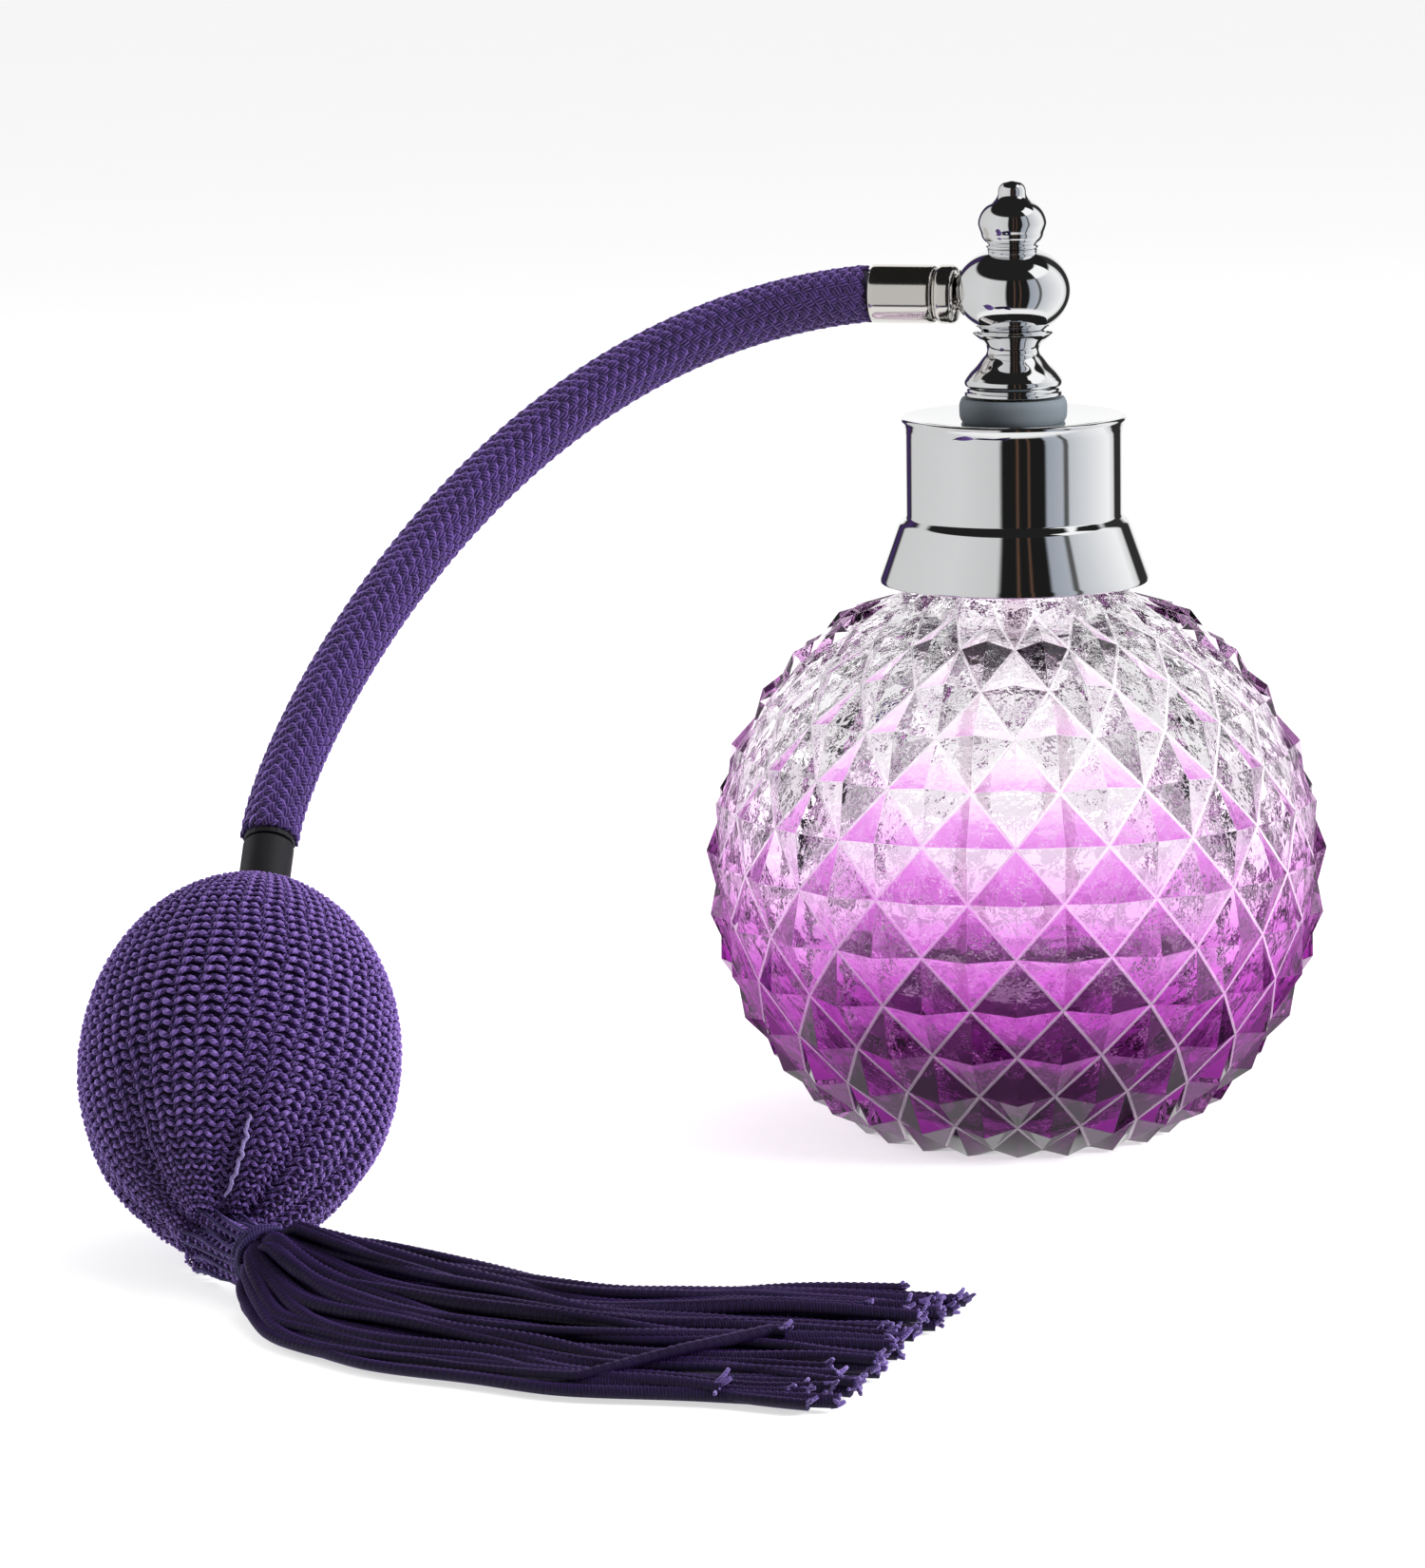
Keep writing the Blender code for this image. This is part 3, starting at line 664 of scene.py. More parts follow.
def foot(bm, low):
    """The flat base, below the pattern's lowest ring."""
    count = len(low)
    base = [bm.verts.new(on_circle(BASE_R, FIRST_CELL + TAU * i / count, 0)) for i in range(count)]
    for i in range(count):
        j = (i + 1) % count
        bm.faces.new((base[i], base[j], low[j], low[i]))
    bm.faces.new(reversed(base))


def soften_cuts(bm, pattern, corners):
    """Bevel the pattern's edges: wide valleys (kind 2), which get the pale glass with its painted
    highlight, and narrow ridges (kind 1).
    """
    kind = bm.edges.layers.int.new("kind")
    for edge in bm.edges:
        if all(face in pattern for face in edge.link_faces):
            edge[kind] = 2 if all(v in corners for v in edge.verts) else 1
    for group, width, segments, slot in ((2, VALLEY_BEVEL, 3, 2), (1, RIDGE_BEVEL, 2, 0)):
        chosen = [edge for edge in bm.edges if edge[kind] == group]
        bmesh.ops.bevel(bm, geom=chosen, offset=width * MM, segments=segments, profile=0.5,
                        affect="EDGES", clamp_overlap=True, material=slot)
    bm.verts.index_update()  # bevel leaves its edges and faces in another order on each run
    for elements in (bm.edges, bm.faces):
        for i, one in enumerate(sorted(elements, key=lambda one: sorted(v.index for v in one.verts))):
            one.index = i
        elements.sort()


def glass_piece(outside, inside, valleys):
    """The whole bottle in one skin: cut outside, threaded neck, bore and smooth cavity."""
    bm = bmesh.new()
    low, high, corners = cut_pattern(bm)
    pattern = set(bm.faces)
    neck_skin(bm, high)
    foot(bm, low)
    bmesh.ops.recalc_face_normals(bm, faces=bm.faces)
    soften_cuts(bm, pattern, corners)
    mesh = bpy.data.meshes.new("cut_glass_globe")
    bm.to_mesh(mesh)
    bm.free()
    smooth(mesh)
    for material in (outside, inside, valleys):
        mesh.materials.append(material)
    piece = put_in_scene("cut_glass_globe", mesh)
    flats = piece.modifiers.new("flat_facets", "WEIGHTED_NORMAL")
    flats.weight = 100
    fit(piece, "bottle", "glass_bottle")


# ---- metal fittings


def collar(chrome):
    """Skirt, step, waist and flared lip, with a shallow dish on top and an open inside."""
    profile = [(8.0, 91.75), (13.2, 92.35)] + arc(13.95, 92.06, 0.48, 0.46, 100, -5, 9)
    profile += curve([(14.4, 91.95), (14.2, 91.5), (14.0, 90.9), (13.9, 90.2)], 5)
    profile += rounded([(13.88, 80.2), (13.88, 79.75), (14.75, 78.95), (17.3, 71.9), (17.3, 71.3),
                        (16.8, 71.3), (16.2, 73.0)], 0.3)
    profile += [(15.0, 77.0), (13.5, 79.0), (13.5, 90.6), (5.0, 90.6), (5.0, 91.6)]
    fit(turned("collar", profile, chrome, segments=160), "collar", "collar_shell")


def bell_and_cup(chrome):
    profile = [(2.5, 105.2), (2.5, 103.5)]
    profile += rounded([(2.9, 103.42), (4.9, 103.4), (5.2, 103.1), (5.0, 102.8)], 0.15)
    profile += curve([(4.7, 102.45), (4.1, 101.95), (3.6, 101.45), (3.35, 100.95), (3.42, 100.5),
                      (3.8, 100.05), (4.5, 99.2), (5.4, 98.25), (6.0, 97.45)], 5)
    profile += arc(5.95, 96.75, 0.32, 0.55, 60, -70, 7)
    profile += rounded([(5.95, 96.0), (5.95, 95.8), (6.25, 95.55), (6.25, 95.1), (3.5, 95.1)], 0.12)
    profile += [(3.5, 95.8), (5.1, 95.8), (5.0, 97.0), (3.9, 98.6), (1.5, 99.4), (1.5, 105.2)]
    fit(turned("bell_and_cup", profile, chrome), "head", "head_base")


def ball(chrome):
    profile = arc(0, BALL_Z, 7.4, 5.9, 68, -57, 44) + arc(0, BALL_Z, 6.7, 5.2, -57, 68, 20)
    fit(turned("ball", profile, chrome), "head", "head_ball")


def finial(chrome):
    """Nub, ball and ring, with the stud that goes down into the head's ball."""
    profile = [(0, 122.4)]
    profile += curve([(0.55, 122.36), (1.15, 122.12), (1.6, 121.65), (1.78, 121.1), (1.8, 120.65),
                      (2.05, 120.2), (2.6, 119.75), (3.3, 119.25), (3.85, 118.6), (4.22, 117.85),
                      (4.4, 117.0), (4.25, 116.3), (4.05, 115.75), (3.9, 115.2), (3.6, 114.7),
                      (3.15, 114.35)], 4)
    profile += rounded([(3.0, 114.28), (3.3, 114.2), (3.38, 114.0), (3.2, 113.78), (1.0, 113.78)], 0.1)
    profile += [(1.0, 110.6), (0, 110.6)]
    fit(turned("finial_turned", profile, chrome, ring=False), "head", "finial")


def nozzle(chrome):
    profile = [(0.62, 7.3), (1.1, 7.22), (1.6, 7.08), (1.75, 6.98), (1.8, 6.85), (1.8, 5.0), (0.62, 5.0)]
    outward = stand((0, 0, BALL_Z), (1, 0, 0))
    fit(turned("nozzle", profile, chrome, outward, 48), "head", "nozzle_insert")


def swivel_ring(seal):
    profile = rounded([(3.5, 94.8), (6.5, 94.8)], 0.1)
    profile += curve([(6.6, 94.7), (6.84, 94.1), (6.88, 93.2), (6.8, 92.3), (6.5, 91.7)], 5)
    profile += [(6.4, 91.65), (3.5, 91.65)]
    fit(turned("swivel_ring", profile, seal), "stem", "swivel_gasket")


def hose_fittings(nickel):
    """The ferrule and the barbed nipple, both turned about the inlet. Heights run out from the head."""
    outward = stand((0, 0, INLET_Z), (-1, 0, 0))
    ferrule = rounded([(3.2, 18.1), (3.7, 18.1), (3.75, 17.8)], 0.1) + [(3.75, 17.2), (3.75, 10.7)]
    ferrule += arc(3.45, 10.6, 0.3, 0.6, 0, -90, 6) + [(3.2, 10.0)]
    fit(turned("ferrule", ferrule, nickel, outward), "hose", "hose_ferrule")
    nipple = [(0.8, 5.2), (0.8, 16.5), (1.25, 16.5), (1.5, 14.7), (1.25, 14.2), (1.5, 12.4), (1.5, 9.9)]
    nipple += rounded([(3.2, 9.9), (3.4, 9.85), (3.5, 9.6)], 0.1) + arc(3.3, 8.9, 0.5, 0.75, 70, 0, 6)
    nipple += arc(3.1, 8.0, 0.7, 0.85, 0, -80, 8) + [(2.4, 7.12), (2.05, 7.1), (2.05, 5.2)]
    fit(turned("nipple", nipple, nickel, outward), "hose", "hose_nipple")


# ---- hose


def ferrule_end():
    """x of the ferrule's outer end, in metres."""
    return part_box("hose_ferrule")[0].x


def spokes_round(side, up, angle):
    """Unit vectors at the angles round each point of a path."""
    return side[:, None] * np.cos(angle)[:, None] + up[:, None] * np.sin(angle)[:, None]


def hose_sheet(radius, columns=96, rows=420):
    """The hose's surface at a radius, and the hose's length."""
    start = np.array([ferrule_end() / MM - HOSE_GAP, 0.0, INLET_Z])
    end = BULB_CENTRE + BULB_AXIS * HOSE_END
    controls = (start, start + HOSE_START_HANDLE, end + BULB_AXIS * HOSE_END_HANDLE, end)
    path, length = even_steps(bezier(controls, np.linspace(0, 1, 900)), rows)
    side, up = sides_along(path, (0, 1, 0))
    angle = TAU * np.arange(columns) / columns
    return Sheet(path[:, None] + radius * spokes_round(side, up, angle)), length


def braided_hose(material, lining):
    """Strands that wind both ways and pass over and under each other, round the rubber hose."""
    strand_width, strand_thickness, wave = 0.62, 0.25, 0.16
    rings_per_repeat = 6.5
    sheet, length = hose_sheet(HOSE_R - strand_thickness - wave)
    rings = int(length / BRAID_REPEAT * rings_per_repeat)
    s = np.linspace(0, length, rings)
    u, lift = [], []
    for way in (1, -1):
        for i in range(BRAID_STRANDS):
            u.append((i + way * s / BRAID_REPEAT) / BRAID_STRANDS)
            lift.append(way * wave * np.cos(TAU * s / BRAID_REPEAT))
    u, lift = np.array(u), np.array(lift)
    count = len(u)
    v = np.repeat(s[None] / length, count, 0)
    over = 0.5 + 0.5 * lift / wave
    width = strand_width * (0.82 + 0.18 * over)
    points = lay(sheet, u, v, lift, width, strand_thickness * np.ones_like(v), 5)
    braid = yarns("hose_braid", points, length * 1.5, rng.random(count), material)
    inner, length = hose_sheet(LINING_R, 24, 90)
    tube = mesh_piece("hose_lining", inner.grid, tube_faces(1, 90, 24), [lining])
    for piece, node_name in ((braid, "hose_sleeve"), (tube, "air_hose")):
        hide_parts(node_name)
        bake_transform(piece)
        piece.visible_glossy = False


# ---- bulb and net


def net_sheet():
    """The net's surface from the bulb's neck, over the bulb, pleating together into the tie."""
    columns = 240
    polar = np.radians(np.linspace(MOUTH_ANGLE, TAIL_ANGLE, BULB_ROWS))
    radius, height = BULB_R - NET_DEPTH, BULB_HALF_LENGTH - NET_DEPTH
    centres = BULB_CENTRE + BULB_AXIS * (height * np.cos(polar))[:, None]
    radii = radius * np.sin(polar)
    t = np.linspace(0, 1, STALK_ROWS + 1)[1:]
    last = centres[-1]
    into_tie = (TIE_CENTRE - HEADING * 6.0, TIE_CENTRE + HEADING * 0.6)
    centres = np.vstack([centres, bezier((last, last - BULB_AXIS * 1.5, *into_tie), t)])
    radii = np.concatenate([radii, STALK_R + (radii[-1] - STALK_R) * (1 - t) ** 3.2])
    side, up = sides_along(centres, SQUEEZE_AXIS)
    angle = TAU * np.arange(columns) / columns
    row = np.arange(len(centres))
    share = np.clip((row - PLEATS_FROM) / (BULB_ROWS - PLEATS_FROM), 0, 1) ** 0.9
    share *= 1 - 0.55 * np.clip((row - 180) / 50, 0, 1)
    fold = np.abs(np.sin(4.5 * angle + 0.9 * np.sin(2 * angle + 1) + 0.6 * share[:, None])) ** 0.85
    fold = fold * (0.8 + 0.2 * np.sin(3 * angle + 2))
    r = radii[:, None] + share[:, None] * (PLEAT_DEPTH * fold - 1.9)
    grid = centres[:, None] + r[..., None] * spokes_round(side, up, angle)
    grid[..., 2] = np.maximum(grid[..., 2], TABLE_GAP)
    sheet = Sheet(grid)
    # painted shade: how much darker the yarn is painted in the pleats' creases
    sheet.crease = np.sqrt(share)[:, None] * np.clip(1 - 1.6 * fold, 0, 1)
    return sheet


def course_places(sheet):
    """v of each course, evenly spaced down the sheet, and the width of a wale there."""
    rows = len(sheet.grid)
    step = np.linalg.norm(np.diff(sheet.grid, axis=0), axis=2).mean(axis=1)
    reach = np.concatenate([[0], np.cumsum(step)])
    girth = np.linalg.norm(sheet.grid - np.roll(sheet.grid, 1, 1), axis=2).sum(axis=1)
    places = np.arange(0.5 * COURSE_PITCH, reach[-1], COURSE_PITCH)
    v = np.interp(places, reach, np.linspace(0, 1, rows))
    return v, COURSE_PITCH / reach[-1], np.interp(places, reach, girth) / WALES


def course_yarns(sheet, courses, start, depth, samples, around):
    """Half of every course, as zigzag yarn whose points duck under the next course. Depth 1 is the
    deeper layer of loops. Also returns how high the yarn stands, less the shade of the creases."""
    v_course, pitch, wale = courses
    size = np.clip(wale / 3.0, 0.62, 1)[:, None]
    u = np.repeat((start + np.linspace(0, 0.5, WALES * samples + 1))[None], len(v_course), 0)
    stagger = rng.normal(0, 0.06, (len(v_course), 1))
    phase = (u * WALES + 0.25 * depth + stagger) % 1.0
    zigzag = 4 * np.abs(phase - 0.5) - 1
    zigzag = 1.15 * zigzag - 0.15 * zigzag**3
    uneven = 1 + 0.10 * np.sin(TAU * (u * 31 + rng.random((len(v_course), 1))))
    v = v_course[:, None] + pitch * (0.20 * zigzag + 0.5 * depth + 0.02 * (uneven - 1))
    relief = np.cos(math.pi * zigzag * 0.85)
    lift = size * (0.04 + 0.28 * relief - 0.40 * depth)
    width = size * uneven * (0.27 + 0.09 * relief) * (1 - 0.1 * depth)
    points = lay(sheet, u, v, lift, width, width * 0.92, around)
    row = (np.clip(v, 0, 1) * (len(sheet.grid) - 1)).astype(int)
    column = (u % 1.0 * sheet.grid.shape[1]).astype(int)
    # the creases' painted shade is taken off the height, which later sets the yarn's painted light
    return points, depth, relief - 2.2 * sheet.crease[row, column]


def marked_yarns(points, depth, relief):
    """Points, faces and thread marks: the outer layer's crests get a painted highlight, and the deeper
    layer and the creases get painted shade.
    """
    count, rings, around = points.shape[:3]
    marks = thread_marks(count, rings, around, 62.0, rng.random(count) * 0.5)
    # painted light: high crests get a painted highlight, and the creases and the deeper layer get painted
    # shade
    marks[..., 2] += 1.9 * np.clip(relief, -1.2, 1)[..., None] * (1 - depth) - 1.2 * depth
    return points.reshape(-1, 3), tube_faces(count, rings, around), marks.reshape(-1, 3)


def merged(name, parts, material):
    """One object from several sets of points, faces and thread marks."""
    points, faces, marks, first = [], [], [], 0
    for some_points, some_faces, some_marks in parts:
        points.append(some_points)
        faces += [[first + i for i in face] for face in some_faces]
        marks.append(some_marks)
        first += len(some_points)
    return mesh_piece(name, np.vstack(points), faces, [material], np.vstack(marks))


def thick_skin(name, outer, inner, material, sharp=None):
    """A closed shell between two open sheets of points."""
    loop = np.concatenate([outer, inner[:, ::-1]], axis=1)
    return mesh_piece(name, loop, tube_faces(1, len(loop), loop.shape[1]), [material], sharp=sharp)


def knitted_net(material, shade_sheet_material, strand_material):
    """Two layers of courses in two halves, a dark sheet of painted shade behind the pleats, and strands
    into the tie.
    """
    sheet = net_sheet()
    courses = course_places(sheet)
    for half, start in (("left", 0.25), ("right", -0.25)):
        layers = [course_yarns(sheet, courses, start, *layer) for layer in ((0, 7, 6), (1, 5, 5))]
        piece = merged(f"net_{half}", [marked_yarns(*layer) for layer in layers], material)
        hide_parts("bulb_net")
        squeeze(piece)
    # Dark sheets under the pleats and the gather: painted shade that shows in the gaps between the yarns.
    for half, first in (("left", 60), ("right", -60)):
        columns = np.arange(first, first + 121) % sheet.grid.shape[1]
        skins = [(sheet.grid - depth * sheet.normal)[SHADE_SHEET_FROM:, columns] for depth in (0.62, 0.95)]
        squeeze(thick_skin(f"net_shade_sheet_{half}", *skins, shade_sheet_material))
    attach(gathered_strands(sheet, strand_material), "bulb")
    return sheet


def gathered_strands(sheet, material):
    """Long strands that run straight from the pucker into the tie."""
    count, rings = 26, 40
    first, last = BULB_ROWS + 6, BULB_ROWS + STALK_ROWS - 2
    s = np.linspace(0, 1, rings)[None]
    u = (np.arange(count)[:, None] + rng.uniform(-0.3, 0.3, (count, 1)) + 0.25 * np.sin(5 * s)) / count
    row = first + rng.uniform(0, 14, (count, 1)) * (1 - s) + (last - first) * s
    size = 0.26 * np.ones_like(u)
    lift = 0.42 - 0.5 * (1 - s) ** 4 + 0.05 * np.sin(9 * s + np.arange(count)[:, None])
    points = lay(sheet, u, row / (BULB_ROWS + STALK_ROWS - 1), lift, size, size, 6)
    points[..., 2] = np.maximum(points[..., 2], 0.4)
    # the level below zero paints them darker: painted shade, as in the net's hollows
    return yarns("gathered_strands", points, 9.0, rng.random(count) * 0.3 - 0.9, material)


def squeeze(piece):
    """Bakes the piece's place into its mesh."""
    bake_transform(piece)


def rubber(material, under_net):
    """Rubber wall in two halves, each with half of the ellipsoid, and the neck."""
    r, half_length, wall = BULB_R - RUBBER_DEPTH, BULB_HALF_LENGTH - RUBBER_DEPTH, 1.5
    polar = np.radians(np.linspace(10, 172, 60))
    sunk = 1 - 0.14 * np.clip((polar - 2.1) / 0.5, 0, 1)
    across = np.cross(BULB_AXIS, SQUEEZE_AXIS)
    for half, start in (("left", math.pi / 2), ("right", -math.pi / 2)):
        angle = start + np.linspace(0, math.pi, 40)[:, None]
        spokes = SQUEEZE_AXIS * np.cos(angle) + across * np.sin(angle)
        skins = []
        for depth in (0.0, wall):
            along = BULB_AXIS * ((half_length - depth) * sunk * np.cos(polar))[:, None]
            out = ((r - depth) * sunk * np.sin(polar))[:, None, None] * spokes
            skins.append(BULB_CENTRE + along[:, None] + out)
        piece = thick_skin(f"rubber_{half}", *skins, under_net, sharp=40)
        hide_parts(f"bulb_wall_{half}")
        squeeze(piece)
    neck = rounded([(2.0, 22.0), (2.0, BULB_NECK_TOP), (BULB_NECK_R, BULB_NECK_TOP), (BULB_NECK_R, 24.6),
                    (4.6, 22.6), (4.6, 22.0)], 0.35)
    piece = turned("rubber_neck", neck, material, stand(BULB_CENTRE, BULB_AXIS), 64)
    fit(piece, "bulb", "rubber_bulb")


def stray_thread(sheet, material):
    """A loose end of yarn that lies over the net above the gather."""
    s = np.linspace(0, 1, 60)[None]
    u = 0.808 + 0.005 * np.sin(3.1 * s) - 0.006 * s + 0.0016 * np.sin(31 * s) + 0.001 * np.sin(57 * s)
    v = 0.546 + 0.126 * s
    size = 0.24 * np.sqrt(np.clip(1 - (2 * s - 1) ** 8, 0.05, 1))
    points = lay(sheet, u, v, 0.62 + 0.1 * np.sin(20 * s), size, size, 8)
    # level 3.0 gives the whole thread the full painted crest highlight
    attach(yarns("loose_thread", points, 9.0, np.full(1, 3.0), material), "bulb")


def tie(material):
    """Cord wound round the gathered net."""
    turns, steps, around, length, cord_r = 4, 240, 8, 1.68, 0.40
    s = np.linspace(0, 1, steps)
    angle = TAU * turns * s
    side = unit(np.cross(HEADING, (0, 0, 1)))
    up = np.cross(side, HEADING)
    path = TIE_CENTRE + HEADING * ((s - 0.5) * length)[:, None]
    r = 3.55 + 0.15 * np.sin(angle * 2.7)
    middle = path + r[:, None] * (side * np.cos(angle)[:, None] + up * np.sin(angle)[:, None])
    out = unit(middle - path)
    across = np.cross(unit(np.gradient(middle, axis=0)), out)
    k = TAU * np.arange(around) / around
    points = middle[:, None] + cord_r * spokes_round(out, across, k)
    fit(yarns("tie_cord", points[None], 90.0, np.zeros(1), material), "bulb", "net_tie")


# ---- tassel

# The tassel's rear and front edges, from the tie's centre: x, y and the height of the pile's top there
REAR_EDGE = ((0, 0, 5.6), (4.2, 3.4, 5.7), (14, 6.4, 5.1), (28, 2.4, 4.9), (44, -3.6, 4.6), (54, 0.5, 4.3),
             (62, 5.6, 4.0), (71, 9.4, 3.6), (82, 12.0, 3.2))
FRONT_EDGE = ((0, 0, 5.2), (-0.9, -4.6, 4.6), (1.2, -10, 3.0), (7.5, -19, 1.6), (20, -27.6, 1.5),
              (34.5, -31.0, 1.4), (47, -35.2, 1.4), (62, -35.2, 1.4), (80, -35.4, 1.4))
CORDS = 57
CORD_HALF_WIDTH, CORD_HALF_THICKNESS = 1.02, 0.66
STITCH = 0.85


def along_edge(edge, share):
    """Points on an edge of the pile at the shares of its length."""
    line = even_steps(np.array(curve(edge, 12)), 400)[0]
    return np.stack([np.interp(share, np.linspace(0, 1, 400), line[:, i]) for i in range(3)], 1)


def cord_path(share, layer, finish, lift, drift, rings, base_z):
    """One cord. share runs from the rear edge (0) to the front edge (1) of the pile, and finish is how
    far it reaches. Past its middle a cord may lift over the others, and further on drift across them."""
    s = np.linspace(0, 1, rings)
    reach = s * finish
    sway = 0.035 * np.sin(TAU * (rng.uniform(0.5, 1.4) * s + rng.random()))
    sway += 0.012 * np.sin(TAU * (rng.uniform(2, 4) * s + rng.random()))
    q = share + np.clip(reach * 5, 0, 1) * sway + drift * np.clip((reach - 0.66) / 0.17, 0, 1)
    path = along_edge(REAR_EDGE, reach) * (1 - q)[:, None] + along_edge(FRONT_EDGE, reach) * q[:, None]
    hump = 1 + 1.1 * q * (1 - q) * 4 * np.clip(1 - 0.5 * reach, 0, 1)
    top = path[:, 2] * hump - CORD_HALF_THICKNESS
    low = CORD_HALF_THICKNESS + 0.1
    level = low + (top - low) * (layer / 2) * (0.92 + 0.12 * np.sin(TAU * (1.3 * s + rng.random())))
    level = np.maximum(level + lift * np.clip((reach - 0.5) * 4, 0, 1), low)
    root = TIE_CENTRE[2] - base_z + 2.0 * np.cos(TAU * share * 3.3 + layer)
    free = np.clip(reach / 0.10, 0, 1)
    free = free * free * (3 - 2 * free)
    path[:, 2] = base_z + root * (1 - free) + level * free
    path[:, :2] += TIE_CENTRE[:2]
    return path


def cord_paths(rings, base_z):
    """The cords in three layers, and two more that lie across the others at the front."""
    paths = []
    for i in range(CORDS):
        layer = (i * 2) % 3
        share = (i + 0.5) / CORDS
        share = 0.5 + (share - 0.5) * (1.0, 0.97, 0.86)[layer]
        finish = 0.985 - abs(rng.normal(0, 0.03)) - 0.015 * share
        if share < 0.06:
            finish = 0.985
        paths.append(cord_path(share, layer, finish, 0.0, 0.0, rings, base_z))
    paths.append(cord_path(0.98, 2, 0.85, 1.3, -0.42, rings, base_z))
    paths.append(cord_path(0.93, 2, 0.83, 0.5, 0.03, rings, base_z))
    return np.array(paths)


def tassel(material, fray_material):
    """Knitted cords that fan out of the tie and lie on the table, each with a frayed end."""
    rings, around = 340, 8
    base_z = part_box("tassel_cords")[0].z / MM
    paths = cord_paths(rings, base_z)
    count = len(paths)
    ahead = unit(np.gradient(paths, axis=1))
    s = np.linspace(0, 1, rings)
    turn = 0.45 * np.sin(TAU * (rng.uniform(0.4, 1.1, count)[:, None] * s + rng.random(count)[:, None]))
    flat = unit(np.cross(ahead, (0, 0, 1.0)))
    up = np.cross(flat, ahead)
    c, d = np.cos(turn)[..., None], np.sin(turn)[..., None]
    wide, tall = flat * c + up * d, up * c - flat * d
    angle = TAU * (np.arange(around) + 0.5) / around
    length = np.linalg.norm(np.diff(paths, axis=1), axis=2).sum(axis=1)
    stitch = TAU * (s[None] * length[:, None] / STITCH)[..., None]
    knit = 1 + 0.09 * np.cos(stitch + math.pi * (np.cos(angle) > 0)) * (np.sin(angle) > -0.2)
    knit = knit + 0.07 * np.cos(4 * angle)
    taper = (0.72 + 0.28 * np.clip(s / 0.08, 0, 1))[None, :, None]
    x = CORD_HALF_WIDTH * np.cos(angle) * knit * taper
    y = CORD_HALF_THICKNESS * np.sin(angle) * knit * taper
    points = paths[:, :, None] + wide[:, :, None] * x[..., None] + tall[:, :, None] * y[..., None]
    cords = yarns("tassel_bundle", points, 95.0, rng.random(count), material)
    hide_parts("tassel_cords")
    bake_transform(cords)
    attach(frayed_ends(paths[:, -1], ahead[:, -1], wide[:, -1], base_z, fray_material), "tassel")


def frayed_ends(ends, ahead, wide, base_z, material):
    """Four to six short wisps at the end of each cord."""
    t = np.linspace(0, 1, 9)
    k = TAU * np.arange(5) / 5
    tubes, levels = [], []
    for end, direction, side in zip(ends, ahead, wide):
        for _ in range(rng.integers(4, 7)):
            start = end + side * rng.uniform(-0.7, 0.7) + np.array([0, 0, rng.uniform(-0.3, 0.4)])
            bend = side * rng.normal(0, 0.9) + np.array([0, 0, rng.uniform(-0.3, 0.9)])
            length = rng.uniform(0.8, 1.8)
            path = start + direction * (length * t)[:, None] + bend * (t**2)[:, None]
            path -= direction * 0.8
            path[:, 2] = np.maximum(path[:, 2], base_z + 0.25)
            forward = unit(np.gradient(path, axis=0))
            flat = unit(np.cross(forward, (0, 0, 1.0)))
            size = 0.32 * (1 - 0.3 * t**3) * rng.uniform(0.8, 1.2)
            spokes = spokes_round(flat, np.cross(flat, forward), k)
            tubes.append(path[:, None] + size[:, None, None] * spokes)
            levels.append(rng.random())
    return yarns("frayed_ends", np.array(tubes), 3.0, np.array(levels), material)


# ---- CAD nodes that stay


def finish_cad_nodes(dressed):
    """Procedural materials for the CAD nodes that are shown as they are."""
    for material, names in dressed:
        for name in names:
            piece = frame["nodes"][name]
            if not piece.material_slots:
                piece.data.materials.append(material)
            for slot in piece.material_slots:
                slot.material = material
            smooth(piece.data)
            piece.data.set_sharp_from_angle(angle=math.radians(40))


# ---- studio


def round_share(angle):
    """Place on a ramp that runs round from behind, by the left, front and right, to behind again."""
    return 0.5 + angle / 360


def round_ramp(tree, turn, stops):
    return ramp(tree, turn, [(round_share(angle), colour) for angle, colour in stops])


def upper_window(tree, turn, z):
    """1 inside the window at the upper right, between two angles and two heights."""
    inside = between(tree, turn, round_share(56), round_share(60))
    inside = times(tree, inside, one_minus(tree, between(tree, turn, round_share(108), round_share(112))))
    inside = times(tree, inside, between(tree, z, 0.48, 0.50))
    return times(tree, inside, one_minus(tree, between(tree, z, 0.86, 0.89)))


def mirrored(tree, turn, z):
    """What metal reflects: grey at the left, black in front with two brown lines, a window at the upper
    right, a black ceiling and a pale floor."""
    brown = (0.13, 0.07, 0.045)
    walls = round_ramp(tree, turn, [
        (-180, 1.0), (-160, 1.0), (-156, 0.02), (-148, (0.06, 0.03, 0.13)), (-141, 0.02), (-137, 0.62),
        (-60, 0.68), (-16, 0.60), (-12, 0.012), (2, 0.012), (4, brown), (6, 0.012), (14, 0.012),
        (16, brown), (18, 0.012), (33, 0.012), (36, (0.34, 0.37, 0.42)), (53, (0.42, 0.45, 0.50)),
        (56, 0.10), (59, 0.10), (62, (0.55, 0.57, 0.6)), (120, 0.95), (131, 0.7), (135, 0.03),
        (154, 0.03), (160, 0.9), (180, 1.0),
    ])
    ceiling = mix(tree, upper_window(tree, turn, z), rgba(0.015), rgba(1.0))
    colour = mix(tree, between(tree, z, 0.60, 0.67), walls, ceiling)
    return mix(tree, between(tree, times(tree, z, -1.0), 0.66, 0.76), colour, rgba(0.92))


